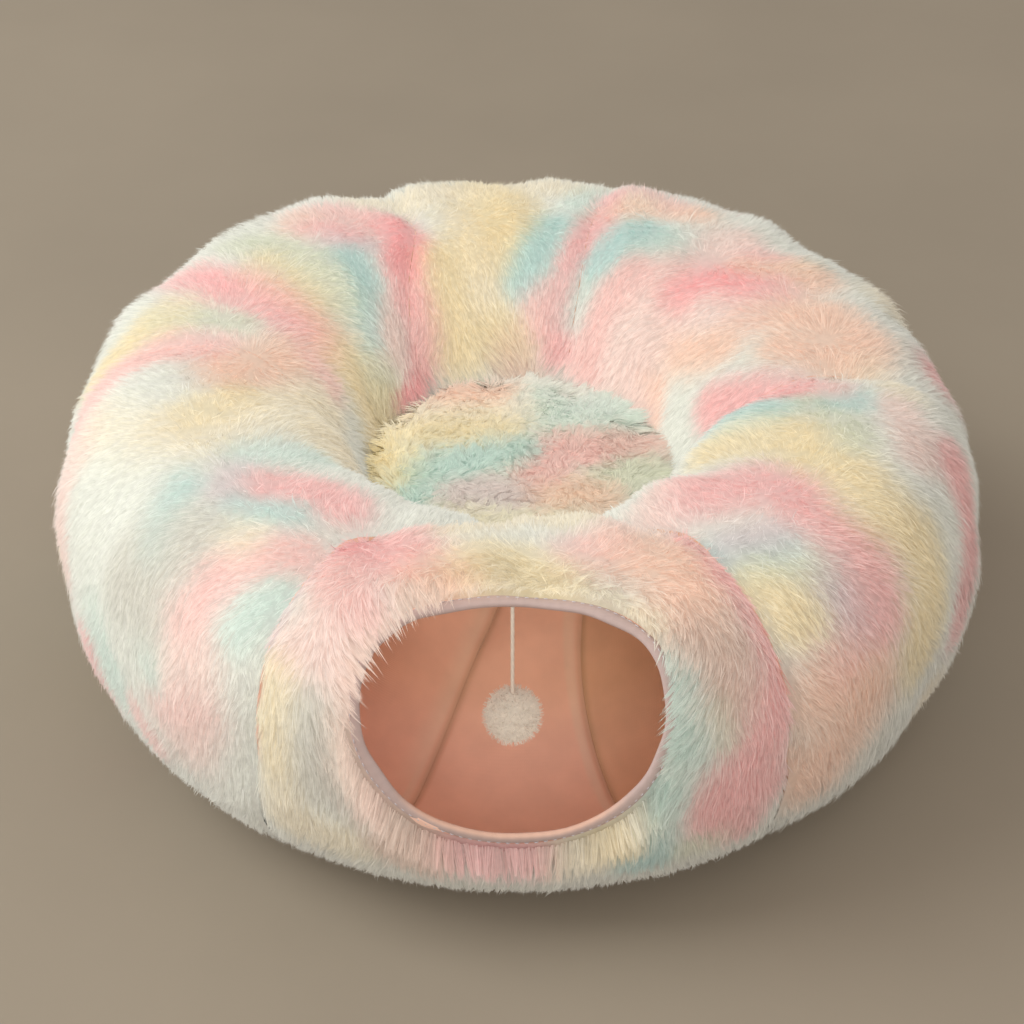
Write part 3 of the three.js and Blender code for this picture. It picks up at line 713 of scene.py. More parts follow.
def mouth_angles(turn, margin, depth):
    """Azimuth and section of a place round the mouth."""
    half_section = MOUTH_HALF_SECTION + margin / (MIDDLE_HEIGHT - depth)
    section = MOUTH_SECTION + half_section * np.sin(turn)
    offset = MOUTH_OFFSET + (MOUTH_HALF_WIDTH + margin) * np.cos(turn)
    share = np.clip(offset / ring_radius(section, depth), -1, 1)
    return MOUTH_AZIMUTH + np.degrees(np.arcsin(share)), section


def mouth_point(turn, margin, depth):
    azimuth, section = mouth_angles(turn, margin, depth)
    return panel_point(PANELS[0], azimuth, section, depth)


# The dyes, with the painted shade among them

MARK_STEPS = 6
CHART_AZIMUTHS = 480
CHART_SECTIONS = 240
CHART_DEPTH = 4


def dye_and_shade_at(points, marks, place):
    """Blend of the marks of dye and painted shade at points; place turns a mark's pairs of numbers into
    points.
    """
    total = np.full(len(points), BASE_STRENGTH)
    colour = total[:, None] * linear(TINTS[BASE_TINT])
    for mark in marks:
        pairs = np.array(mark.places, float)
        at = np.linspace(0, len(pairs) - 1, MARK_STEPS * len(pairs))
        stations = np.stack([np.interp(at, range(len(pairs)), column) for column in pairs.T], axis=1)
        centres = place(stations)
        squares = (points**2).sum(axis=1)[:, None] + (centres**2).sum(axis=1) - 2 * points @ centres.T
        weight = mark.strength * np.exp(-squares.min(axis=1) / mark.radius**2)
        total = total + weight
        colour = colour + weight[:, None] * linear(TINTS[mark.tint])
    return colour / total[:, None]


def ring_place(stations):
    return ring_point(stations[:, 0], np.radians(stations[:, 1]), CHART_DEPTH)


def chart_ring(marks):
    """The ring's dye and painted shade over a grid of azimuths and sections."""
    azimuths = np.arange(CHART_AZIMUTHS) * 360 / CHART_AZIMUTHS
    sections = turns_round(CHART_SECTIONS)
    grid = np.stack(np.meshgrid(azimuths, sections, indexing="ij"), axis=-1).reshape(-1, 2)
    points = ring_point(grid[:, 0], grid[:, 1], CHART_DEPTH)
    return dye_and_shade_at(points, marks, ring_place).reshape(CHART_AZIMUTHS, CHART_SECTIONS, 3)


front_chart = chart_ring(FRONT_DYES_AND_SHADE)
ring_chart = chart_ring(RING_DYES_AND_SHADE)


def ring_dye_and_shade(panel, azimuth, section):
    """The dye and painted shade of a panel, from its chart, between the chart's grid places."""
    chart = front_chart if panel is PANELS[0] else ring_chart
    column = azimuth / 360 * CHART_AZIMUTHS
    row = section / FULL_TURN * CHART_SECTIONS
    left = np.floor(column).astype(int)
    low = np.floor(row).astype(int)
    across = (column - left)[:, None]
    up = (row - low)[:, None]
    colour = 0
    for step, column_share in ((0, 1 - across), (1, across)):
        for rise, row_share in ((0, 1 - up), (1, up)):
            found = chart[(left + step) % CHART_AZIMUTHS, (low + rise) % CHART_SECTIONS]
            colour = colour + found * column_share * row_share
    return colour


# Camera, as the photograph was taken
CAMERA_PLACE = Vector((-3.8, -1178.1, 1022.0)) * MM
CAMERA_TARGET = Vector((-3.8, 9.3, 92.3)) * MM
CAMERA_SENSOR = 36
CAMERA_LENS = 79.056


def aim(place, target):
    """The rotation that turns a camera or lamp towards a target."""
    return (target - place).to_track_quat("-Z", "Y").to_euler()


camera = bpy.data.objects.new("camera", bpy.data.cameras.new("camera"))
bpy.context.scene.collection.objects.link(camera)
camera.location = CAMERA_PLACE
camera.rotation_euler = aim(CAMERA_PLACE, CAMERA_TARGET)
camera.data.sensor_width = CAMERA_SENSOR
camera.data.lens = CAMERA_LENS
bpy.context.scene.camera = camera


# The cord: a tube with the ridges of its twisted strands
CORD_STEPS = 66
CORD_SIDES = 15
CORD_STRANDS = 3
CORD_RIDGE = 0.1
CORD_LAY = 6.5
CORD_COLOUR = linear((246, 234, 218))
CORD_VALLEY_SHADE = 0.92


def make_cord(material):
    along = np.linspace(0, CORD_LENGTH, CORD_STEPS)
    turns = turns_round(CORD_SIDES)
    twist = CORD_STRANDS * turns[None] - FULL_TURN * along[:, None] / CORD_LAY
    ridge = 0.5 + 0.5 * np.cos(twist)
    radius = CORD_DIAMETER / 2 * (1 - CORD_RIDGE * (1 - ridge))
    points = np.stack([
        CORD_TOP[0] + radius * np.cos(turns),
        CORD_TOP[1] + radius * np.sin(turns),
        np.broadcast_to(CORD_TOP[2] - along[:, None], radius.shape),
    ], axis=-1).reshape(-1, 3)
    faces = [grid_faces(CORD_STEPS, CORD_SIDES)[:, ::-1], end_faces(CORD_STEPS, CORD_SIDES)[:, ::-1]]
    # painted shade in the valleys between the twisted strands
    colours = CORD_COLOUR * lerp(CORD_VALLEY_SHADE, 1.0, ridge.reshape(-1, 1))
    piece = add_piece("pompom_cord_twist", Form(points, faces, colours), material)
    path = [(CORD_TOP[0] * MM, CORD_TOP[1] * MM, (CORD_TOP[2] - step) * MM) for step in along]
    return piece, path


cord_material = pile_material("twisted_cord", sheen=0.2)
cord, cord_path = make_cord(cord_material)
keep(cord, "cord", "pompom_cord")


# Floor and light
FLOOR_HALF = 6000
FLOOR_COLOUR = linear((149, 137, 121))
FLOOR_SHADE = Uneven(3, 6, 0.94, 1.04)
FLOOR_ROUGHNESS = 0.85
Lamp = namedtuple("Lamp", "name place size energy tint")
LAMPS = [
    Lamp("key", (-2.3, 0.1, 2.0), 2.0, 61, (0.97, 1.0, 0.98)),
    Lamp("front", (-0.2, -2.5, 1.5), 1.6, 24, (1.0, 0.97, 0.94)),
    Lamp("fill", (1.7, 0.5, 2.2), 2.0, 8, (1.0, 0.97, 0.92)),
]
LAMP_TARGET = Vector((0, 0, 0.1))
# What comes through the cloth into the tunnel, on both sides of the mouth
Glow = namedtuple("Glow", "azimuth energy")
GLOWS = [Glow(232, 0.052), Glow(308, 0.037)]
GLOW_HEIGHT = 0.15
GLOW_SIZE = 0.04
GLOW_TINT = (1.0, 0.9, 0.84)
WORLD_TINT = (1.0, 0.95, 0.89, 1)
WORLD_STRENGTH = 0.53

floor_material, floor_nodes, floor_links, floor_shader = new_material("pale_floor")
floor_shade = add_noise(floor_nodes, floor_links, FLOOR_SHADE)
floor_colour = floor_nodes.new("ShaderNodeRGB")
floor_colour.outputs[0].default_value = (*FLOOR_COLOUR, 1)
floor_links.new(
    shaded_colour(floor_nodes, floor_links, floor_colour.outputs[0], floor_shade),
    floor_shader.inputs["Base Color"],
)
floor_shader.inputs["Roughness"].default_value = FLOOR_ROUGHNESS
floor_corners = np.array([(-1, -1, 0), (1, -1, 0), (1, 1, 0), (-1, 1, 0)], float) * FLOOR_HALF
floor = add_piece("floor", Form(floor_corners, [np.array([[0, 1, 2, 3]])]), floor_material)


def add_light(name, kind, place, energy, tint):
    light = bpy.data.lights.new(name, kind)
    light.energy = energy
    light.color = tint
    holder = bpy.data.objects.new(name, light)
    holder.location = place
    bpy.context.scene.collection.objects.link(holder)
    return holder


for lamp in LAMPS:
    holder = add_light(lamp.name, "AREA", lamp.place, lamp.energy, lamp.tint)
    holder.data.size = lamp.size
    holder.rotation_euler = aim(Vector(lamp.place), LAMP_TARGET)
for glow in GLOWS:
    turn = math.radians(glow.azimuth)
    place = Vector((math.cos(turn), math.sin(turn), 0)) * MIDDLE_RADIUS * MM + Vector((0, 0, GLOW_HEIGHT))
    holder = add_light("glow", "POINT", place, glow.energy, GLOW_TINT)
    holder.data.shadow_soft_size = GLOW_SIZE
world = bpy.data.worlds.new("soft_light")
world.use_nodes = True
world.node_tree.nodes["Background"].inputs["Color"].default_value = WORLD_TINT
world.node_tree.nodes["Background"].inputs["Strength"].default_value = WORLD_STRENGTH
bpy.context.scene.world = world
bpy.context.scene.view_settings.view_transform = "Standard"


# The panels' cloth: a thin sheet on each solid's folds, open at the mouth
Grid = namedtuple("Grid", "columns rows")
FRONT_CLOTH_GRID = Grid(46, 120)
CLOTH_GRID = Grid(16, 84)
CLOTH_COLOUR = linear((248, 205, 185))
CLOTH_GAP = 0.1
CLOTH_OUTER_DEPTH = PILE_DEPTH + 1
CLOTH_EDGE_MARGIN = 3.5
EDGE_STEPS = np.array([0, 1.5, 3, 5, 8, 11, 14])
SEAM_ROLL = 1.4
SEAM_ROLL_WIDTH = 3
# Painted shade along the rolled seams, where the doubled cloth lets less light through
SEAM_PAINTED_SHADE = np.array([0.74, 0.75, 0.7])
# The seam allowance lies on one side of each seam, between these distances from it
ALLOWANCE_START = (2, 5)
ALLOWANCE_END = (8, 11)
ALLOWANCE_SHADE = np.array([0.95, 1.06, 1.07])
BROWNER_PANEL = "panel_front_right"
BROWNER_SHADE = np.array([0.86, 0.85, 0.74])
# Painted shade on the tunnel's wall on the hole's side, placed by the cosine and sine of its section angle
WALL_FACING = (-0.1, 0.5)
WALL_LEVEL = (-0.98, -0.5)
WALL_PAINTED_SHADE = np.array([0.86, 0.83, 0.73])
CREASE_HEIGHT = 0.8
CREASE_STRETCH = (1, 1, 2.2)
CREASE_NOISE = Noise(5, 70, 5)
FlatCut = namedtuple("FlatCut", "width length area")
FLAT_STEPS = 720


def flat_cut(panel):
    """The flat cloth of a panel: as wide as its widest place, as long as its section is round."""
    section = np.linspace(0, FULL_TURN, FLAT_STEPS + 1)
    start, end = panel_ends(panel, section, BINDING_DEPTH, 0)
    width = np.radians(end - start) * ring_radius(section, BINDING_DEPTH)
    steps = np.linalg.norm(np.diff(ring_point(0, section, BINDING_DEPTH), axis=0), axis=1)
    area = ((width[1:] + width[:-1]) / 2 * steps).sum()
    if panel is PANELS[0]:
        half_height = MOUTH_HALF_SECTION * (MIDDLE_HEIGHT - BINDING_DEPTH) + CLOTH_EDGE_MARGIN
        area -= math.pi * (MOUTH_HALF_WIDTH + CLOTH_EDGE_MARGIN) * half_height
    return FlatCut(width.max(), steps.sum(), area)


flat_cuts = {panel.name: flat_cut(panel) for panel in PANELS}


def panel_shares(panel, columns):
    """Shares across a panel, close together beside its seams."""
    edge = EDGE_STEPS / flat_cuts[panel.name].width
    return np.concatenate([edge, np.linspace(edge[-1], 1 - edge[-1], columns)[1:-1], 1 - edge[::-1]])


def panel_grid(panel, grid, edge_margin, depth, seam_gap=SEAM_GAP):
    """Azimuths, sections and faces of a panel's grid, with the mouth left open in the front one."""
    sections = turns_round(grid.rows)
    start, end = panel_ends(panel, sections, depth, seam_gap)
    shares = panel_shares(panel, grid.columns)
    azimuth = lerp(start[None], end[None], shares[:, None]).ravel()
    section = np.tile(sections, len(shares))
    faces = grid_faces(len(shares), grid.rows)[:, ::-1]
    if panel is PANELS[0]:
        turn, margin = mouth_place(azimuth, signed(section), depth)
        inside = margin < edge_margin
        faces = faces[~inside[faces].all(axis=1)]
        snapped = mouth_angles(turn, edge_margin, depth)
        azimuth = np.where(inside, snapped[0], azimuth)
        section = np.where(inside, snapped[1], section)
    return azimuth, section, faces


def thin_sheet(outer, inner, faces):
    """Points and faces of a closed sheet between two layers of the same grid."""
    used, compact = np.unique(faces, return_inverse=True)
    faces = compact.reshape(faces.shape)
    count = len(used)
    edges = np.concatenate([faces[:, [k, (k + 1) % 4]] for k in range(4)])
    ordered = np.sort(edges, axis=1)
    _, first, uses = np.unique(ordered, axis=0, return_index=True, return_counts=True)
    rim = edges[first[uses == 1]]
    sides = np.stack([rim[:, 1], rim[:, 0], rim[:, 0] + count, rim[:, 1] + count], axis=1)
    points = np.concatenate([outer[used], inner[used]])
    return points, [faces, faces[:, ::-1] + count, sides], used


def make_cloth(panel, material):
    grid = FRONT_CLOTH_GRID if panel is PANELS[0] else CLOTH_GRID
    azimuth, section, faces = panel_grid(panel, grid, CLOTH_EDGE_MARGIN, BINDING_DEPTH, CLOTH_GAP)
    share, from_seam = seam_place(panel, azimuth, section, PILE_DEPTH)
    rolled = bell(from_seam, SEAM_ROLL_WIDTH)
    allowance = smoothstep(from_seam, *ALLOWANCE_START) * (1 - smoothstep(from_seam, *ALLOWANCE_END))
    allowance = (share > 0.5) * allowance
    plain = ring_point(azimuth, section, WALL)
    crease = CREASE_HEIGHT * waves(plain * CREASE_STRETCH, CREASE_NOISE) * (1 - rolled)
    outer = panel_point(panel, azimuth, section, CLOTH_OUTER_DEPTH + crease - rolled)
    inner = panel_point(panel, azimuth, section, WALL + crease - SEAM_ROLL * rolled)
    points, faces, used = thin_sheet(outer, inner, faces)
    facing = -np.cos(section[used])
    level = np.sin(section[used])
    on_wall = smoothstep(facing, *WALL_FACING) * smoothstep(level, *WALL_LEVEL)
    # painted shade along the rolled seams
    colours = CLOTH_COLOUR * lerp(1.0, SEAM_PAINTED_SHADE, rolled[used][:, None])
    colours = colours * lerp(1.0, ALLOWANCE_SHADE, allowance[used][:, None])
    if panel.name == BROWNER_PANEL:
        colours = colours * BROWNER_SHADE
    # painted shade on the tunnel's wall on the hole's side
    colours = colours * lerp(1.0, WALL_PAINTED_SHADE, on_wall[:, None])
    return add_piece(panel.name + "_cloth", Form(points, faces, np.tile(colours, (2, 1))), material)


# The pile: strands that lie downhill, gathered into locks, over a felted undercoat
# A pair of numbers is the lowest and highest value of a draw, or the start and end of a fade.
Layer = namedtuple("Layer", "strands length width root tip uneven gather bent shade")
LAYERS = [
    Layer(570000, 9.8, 0.6, 4.8, 1.0, 0.35, 0.8, False, 1),
    Layer(28000, 15, 0.6, 5.6, 0.4, 0.5, 0.8, True, 0.96),
]
NUDGE = 0.02
SLOWEST_RATE = 40

# Where strands grow
FRONT_CROWDING = 1.25
RIM_CROWDING = 1.6
RIM_WIDTH = 9
ROOT_GRID = Grid(60, 110)
LOWEST_ROOT = math.radians(-64)
HIGHEST_ROOT = math.radians(176)
THINNER_BELOW = math.radians(-48)
THINNER_SHARE = 0.7
PILE_MOUTH_MARGIN = 7.6

# How they gather: cells of a size, and a number that makes each set of cells different
Cells = namedtuple("Cells", "size salt")
LOCKS = Cells(3.8, 3)
FRINGE = Cells(5.5, 4)
TUFTS = Cells(24, 9)
LOW_SIDE = (math.radians(5), math.radians(45))
FRINGE_FROM = 0.3
TUFT_GATHER = 0.1
GATHER_SPREAD = (0.5, 1.1)
CUBE_PRIMES = (73856093, 19349663, 83492791)
SHIFT_PRIMES = (7919, 104729, 15485863)
SHIFT_STEPS = 8191

# How they lie
Swirl = namedtuple("Swirl", "turn noise")
SWIRLS = [Swirl(0.34, Noise(6, 120, 21)), Swirl(0.22, Noise(6, 45, 22))]
LOCK_TURN = 0.25
STRAND_TURN = 0.06
LOOSE_LOCK = 1.0
LOOSE_STRAND = 0.4
PARTING = math.radians(90)
PARTING_WIDTH = math.radians(22)
LEAST_LIE = 0.8
SHORTEST_LIE = 0.001
LOCK_TILT = 0.14

# How long they are and how far they reach
LOCK_LENGTHS = (0.8, 1.2)
STRAND_LENGTHS = (0.8, 1.12)
FRINGE_LONGER = 0.5
BY_PAD = (math.radians(142), math.radians(165))
BY_PAD_LONGER = 0.4
BY_PAD_RISE = 5
SEAM_SLACK = 2
MOUTH_SEAM_SLACK = 6
FREE_SLACK = 2
LOCK_UNEVEN = 1
STRAY_SHARE = 0.05
STRAY_REACH = (0.5, 2)
STEEPEST = 0.42
BEND_SHARE = 0.55
BEND_SAG = 0.3
FLOOR_GAP = 0.6
BACK_FLUFF = 3
FLUFF_AT_BACK = (0.1, 0.6)
FLUFF_SECTION = math.radians(52)
FLUFF_WIDTH = math.radians(22)

# How they hang over the mouth's edge: where, how far round it, how far past it and how much they lean
Overhang = namedtuple("Overhang", "turn half_width reach lean")
OVERHANGS = [Overhang(142, 54, 13, 0.75), Overhang(-12, 34, 7.5, 0.6)]
OVERHANG_POWER = 4
MOUTH_LIMIT = 4.4
LIMIT_SPREAD = (-1.2, 2)
TOP_REACH = 2
LEAN_FADE = (14, 34)
LEAN_LONGER = 1.2
MOUTH_TOP = (0.3, 0.8)
EDGE_ROOT_RISE = 1.5
TOP_ROOT_SHARE = 0.6
MOUTH_DIP = 10
MOUTH_TOP_DIP = 7.5
MOUTH_DIP_FADE = (4, 13)

# The undercoat
COAT_GRID = Grid(16, 80)
FRONT_COAT_GRID = Grid(38, 104)
COAT_MOUTH_MARGIN = PILE_MOUTH_MARGIN - 1.1
UNDERCOAT_DEPTH = 3.6
UNDERCOAT_EDGE = 16.8
UNDERCOAT_RISE = (5.5, 30)
UNDERCOAT_SEAM = 8
UNDERSIDE = -0.42
SEAM_DIP = 2
SEAM_DIP_WIDTH = 3
CREST_FADE = (math.radians(80), math.radians(105))

# How strands take light and dye
SOFTNESS = 0.5
HOLE_LIGHT = 1.1
HOLE_FADE = (0.1, 0.8)
RIBBON_ROLL = 0.45
RIBBON_WIDTHS = (0.7, 1.25)
RIBBON_ROUNDING = 0.3
NORMAL_JITTER = 0.1
RIBBON_CELL = [(0.2, 0.1), (0.8, 0.1), (0.8, 0.5), (0.2, 0.5), (0.5, 0.9)]
BRIGHTEST = 0.97
# Painted shade low in the pile: roots darker and a little richer in colour
ROOT_SHADE = 0.84
ROOT_RICHNESS = 0.12
STRAND_SHADE = 0.05
STRAND_FADES = (0, 0.08)
TIP_FADE = 0.04
DYE_LOCK_SHIFT = 2
DYE_STRAND_SHIFT = 1.2
LOCK_SHADES = (0.97, 1.02)


def nearest_cells(points, cells):
    """The group of each point: the nearest of uneven points, one in each cube of that size."""
    home = np.floor(points / cells.size).astype(np.int64)
    best = np.full(len(points), np.inf)
    chosen = np.zeros((len(points), 3), np.int64)
    for step in np.ndindex(3, 3, 3):
        cube = home + np.array(step) - 1
        mixed = (cube * CUBE_PRIMES).sum(axis=1) + cells.salt
        shifts = [((mixed * prime) % SHIFT_STEPS) / SHIFT_STEPS for prime in SHIFT_PRIMES]
        centre = (cube + np.stack(shifts, axis=1)) * cells.size
        away = ((points - centre) ** 2).sum(axis=1)
        closer = away < best
        best = np.where(closer, away, best)
        chosen[closer] = cube[closer]
    return np.unique(chosen, axis=0, return_inverse=True)[1].ravel()


def group_mean(values, groups):
    return (np.bincount(groups, values) / np.bincount(groups))[groups]


def group_draw(groups, low, high):
    """One random value for each group, at each of its members."""
    return draws.uniform(low, high, groups.max() + 1)[groups]


def group_shift(groups, reach):
    """One random shift in space for each group, at each of its members."""
    return np.stack([group_draw(groups, -reach, reach) for _ in range(3)], axis=1)


def scatter_roots(panel, count):
    """Azimuths and sections of roots spread evenly over a panel's skin, and closer round the mouth."""
    columns, rows = ROOT_GRID
    section_edges = np.linspace(LOWEST_ROOT, HIGHEST_ROOT, rows + 1)
    middle = (section_edges[1:] + section_edges[:-1]) / 2
    start, end = panel_ends(panel, middle)
    place = ring_point(0, section_edges, UNDERCOAT_DEPTH)
    length = np.linalg.norm(np.diff(place, axis=0), axis=1)
    width = np.radians(end - start) * ring_radius(middle, UNDERCOAT_DEPTH) / columns
    thinner = np.where(middle < THINNER_BELOW, THINNER_SHARE, 1)
    weight = np.tile(length * width * thinner, columns)
    if panel is PANELS[0]:
        shares = np.repeat((np.arange(columns) + 0.5) / columns, rows)
        azimuths = lerp(np.tile(start, columns), np.tile(end, columns), shares)
        margin = mouth_place(azimuths, np.tile(middle, columns), PILE_DEPTH)[1]
        weight = weight * (1 + RIM_CROWDING * bell(margin - RIM_WIDTH, RIM_WIDTH))
    ladder = np.cumsum(weight) / weight.sum()
    wanted = (np.arange(count) + draws.random(count)) / count
    cell = np.minimum(np.searchsorted(ladder, wanted), len(ladder) - 1)
    column, row = np.divmod(cell, rows)
    section = lerp(section_edges[row], section_edges[row + 1], draws.random(count))
    start, end = panel_ends(panel, section)
    azimuth = lerp(start, end, (column + draws.random(count)) / columns)
    if panel is PANELS[0]:
        outside = mouth_place(azimuth, section, PILE_DEPTH)[1] > PILE_MOUTH_MARGIN
        azimuth, section = azimuth[outside], section[outside]
    return azimuth, section


def is_parted(panel, share):
    """Whether the pile is parted along the nearer seam."""
    return np.where(share < 0.5, panel.parted, next_panel(panel).parted) == 1


def seam_dip(panel, azimuth, section, deepest):
    """How much lower the pile is at a parted seam, less what it fills of the seam's valley."""
    share, from_seam = seam_place(panel, azimuth, section, PILE_DEPTH)
    pinch, groove = seam_valley(panel, section, share, from_seam)
    fill = lerp(panel.fill, next_panel(panel).fill, share) * (pinch + groove)
    over_crest = 1 - smoothstep(section, *CREST_FADE)
    dip = deepest * over_crest * bell(from_seam, SEAM_DIP_WIDTH)
    return np.where(is_parted(panel, share), dip, 0) - fill


def pile_point(panel, azimuth, section, depth):
    """A point of the pile, which fills a share of the seams' valleys."""
    return panel_point(panel, azimuth, section, depth + seam_dip(panel, azimuth, section, 0))


def surface_axes(point, azimuth, section):
    """Directions along the azimuth, along the section and outwards, and mm for each radian of section."""
    along = point(azimuth + 1, section) - point(azimuth - 1, section)
    up = point(azimuth, section + NUDGE) - point(azimuth, section - NUDGE)
    rate = np.maximum(np.linalg.norm(up, axis=1) / (2 * NUDGE), SLOWEST_RATE)
    along, up = unit(along), unit(up)
    return along, up, unit(np.cross(along, up)), rate


def pile_axes(panel, azimuth, section):
    """The same on a panel's pile, where light evens out the valleys."""
    along, up, outward, rate = surface_axes(
        lambda at, angle: pile_point(panel, at, angle, UNDERCOAT_DEPTH), azimuth, section
    )
    plain = surface_axes(lambda at, angle: ring_point(at, angle, UNDERCOAT_DEPTH), azimuth, section)[2]
    return along, up, unit(lerp(outward, plain, SOFTNESS)), rate


def skylight(section):
    """What to add to normals where light comes to the hole's side through the pile, from above."""
    amount = HOLE_LIGHT * smoothstep(-np.cos(section), *HOLE_FADE)
    return np.stack([0 * section, 0 * section, amount], axis=1)


def lie_of_pile(points, along, up, section, locks):
    """How strands lie at points: shares along the azimuth and along the section."""
    count = len(points)
    angle = sum(swirl.turn * waves(points, swirl.noise) for swirl in SWIRLS)
    angle = angle + group_draw(locks, -LOCK_TURN, LOCK_TURN) + draws.normal(0, STRAND_TURN, count)
    downhill = np.tanh((section - PARTING) / PARTING_WIDTH)
    loose = 1 - np.abs(downhill)
    sway = group_draw(locks, -LOOSE_LOCK, LOOSE_LOCK) + draws.normal(0, LOOSE_STRAND, count)
    aside = np.sin(angle) + loose * sway
    ahead = downhill * np.cos(angle) + loose * draws.normal(0, LOOSE_STRAND, count)
    for star in STARS:
        away = points - ring_point(star.azimuth, math.radians(star.section), CHART_DEPTH)
        distance = np.linalg.norm(away, axis=1)
        pull = bell(distance, star.radius)
        outward = away / np.maximum(distance, TINY)[:, None]
        aside = lerp(aside, (outward * along).sum(axis=1), pull)
        ahead = lerp(ahead, (outward * up).sum(axis=1), pull)
    reach = np.hypot(aside, ahead)
    grow = np.maximum(1, LEAST_LIE / np.maximum(reach, SHORTEST_LIE))
    return aside * grow, ahead * grow


def back_fluff(azimuth, section):
    """How much looser the pile stands over the back's shoulder, in mm."""
    at_back = smoothstep(np.sin(np.radians(azimuth)), *FLUFF_AT_BACK)
    return BACK_FLUFF * at_back * bell(section - FLUFF_SECTION, FLUFF_WIDTH)


def overhang_share(side, turn):
    """How much of an overhang there is at a turn round the mouth."""
    away = (np.degrees(turn) - side.turn + 180) % 360 - 180
    return bell(away, side.half_width, OVERHANG_POWER)


def mouth_limit(turn):
    """How near the mouth's edge strands may reach, in mm outside it."""
    limit = MOUTH_LIMIT
    for side in OVERHANGS:
        limit = limit - side.reach * overhang_share(side, turn)
    return limit - TOP_REACH * np.maximum(np.sin(turn), 0) ** 2


def edge_depth(margin):
    """The undercoat's depth so far outside the mouth."""
    return lerp(UNDERCOAT_EDGE, UNDERCOAT_DEPTH, smoothstep(margin, *UNDERCOAT_RISE))


def shaded_root_colour(colour):
    """A dye as it is low in the pile, darker and a little richer: painted shade between the strands."""
    return colour * colour**ROOT_RICHNESS * ROOT_SHADE


def make_undercoat(panel, underside):
    """A panel's dense lower pile, dipping at its seams and to the mouth's edge: its underside or the rest."""
    grid = FRONT_COAT_GRID if panel is PANELS[0] else COAT_GRID
    azimuth, section, faces = panel_grid(panel, grid, COAT_MOUTH_MARGIN, PILE_DEPTH)
    depth = UNDERCOAT_DEPTH + seam_dip(panel, azimuth, section, UNDERCOAT_SEAM - UNDERCOAT_DEPTH)
    if panel is PANELS[0]:
        margin = mouth_place(azimuth, signed(section), PILE_DEPTH)[1]
        depth = np.maximum(depth, edge_depth(margin))
    low = np.sin(section)[faces].mean(axis=1) < UNDERSIDE
    faces = faces[low == underside]
    used, compact = np.unique(faces, return_inverse=True)
    azimuth, section, depth = azimuth[used], section[used], depth[used]
    points = panel_point(panel, azimuth, section, depth)
    normals = unit(pile_axes(panel, azimuth, section)[2] + skylight(section))
    # painted shade: the undercoat takes the darker colour of the strands' roots
    colours = shaded_root_colour(ring_dye_and_shade(panel, azimuth, section))
    start, end = panel_ends(panel, section)
    cells = np.stack([(azimuth - start) / (end - start), (section % FULL_TURN) / FULL_TURN], axis=1)
    return Form(points, [compact.reshape(faces.shape)], colours, normals, cells)


def strand_form(roots, bends, tips, skin, lift, colours, width, bent):
    """Ribbons, bent ones of two faces and straight ones of one, turned to the skin's outside."""
    count = len(roots)
    lengthwise = unit(tips - roots)
    flat = unit(np.cross(lengthwise, skin))
    roll = draws.uniform(-RIBBON_ROLL, RIBBON_ROLL, count)[:, None]
    side = unit(flat * np.cos(roll) + np.cross(lengthwise, flat) * np.sin(roll))
    half = (width * draws.uniform(*RIBBON_WIDTHS, count) / 2)[:, None]
    facing = unit(np.cross(side, lengthwise))
    away = (facing * (skin + lift)).sum(axis=1, keepdims=True) < 0
    side, facing = np.where(away, -side, side), np.where(away, -facing, facing)
    upright = (lengthwise * skin).sum(axis=1, keepdims=True) ** 2
    lit = unit(lerp(skin, facing, upright) + lift + draws.normal(0, NORMAL_JITTER, skin.shape))
    edge = side * RIBBON_ROUNDING
    sides = [-1, 1, 1, -1, 0] if bent else [-1, 1, 0]
    stations = [roots, roots, bends, bends, tips] if bent else [roots, roots, tips]
    patterns = [[0, 1, 2, 3], [3, 2, 4]] if bent else [[0, 1, 2]]
    inset = RIBBON_CELL if bent else RIBBON_CELL[:2] + RIBBON_CELL[4:]
    points = np.stack([at + side * half * sign for at, sign in zip(stations, sides)], axis=1)
    normals = np.stack([lit + edge * sign for sign in sides], axis=1)
    start = np.arange(count)[:, None] * len(sides)
    faces = [start + np.array([pattern]) for pattern in patterns]
    cell_columns = math.ceil(math.sqrt(count))
    row, column = np.divmod(np.arange(count), cell_columns)
    cells = (np.stack([column, row], axis=1)[:, None] + np.array(inset)[None]) / cell_columns
    return Form(
        points.reshape(-1, 3),
        faces,
        colours.reshape(-1, 3),
        unit(normals.reshape(-1, 3)),
        cells.reshape(-1, 2),
    )


def strand_colours(dye_and_shade, count, bent):
    """Each strand's colour at its corners: darker below with painted shade, paler above."""
    shade = draws.normal(1, STRAND_SHADE, count)[:, None]
    fade = draws.uniform(*STRAND_FADES, count)[:, None]
    pale = linear(TINTS["white"])
    bend = np.clip(lerp(dye_and_shade, pale, fade) * shade, 0, BRIGHTEST)
    root = shaded_root_colour(bend)
    tip = np.clip(lerp(bend, pale, TIP_FADE), 0, BRIGHTEST)
    return np.stack([root, root, bend, bend, tip] if bent else [root, root, tip], axis=1)


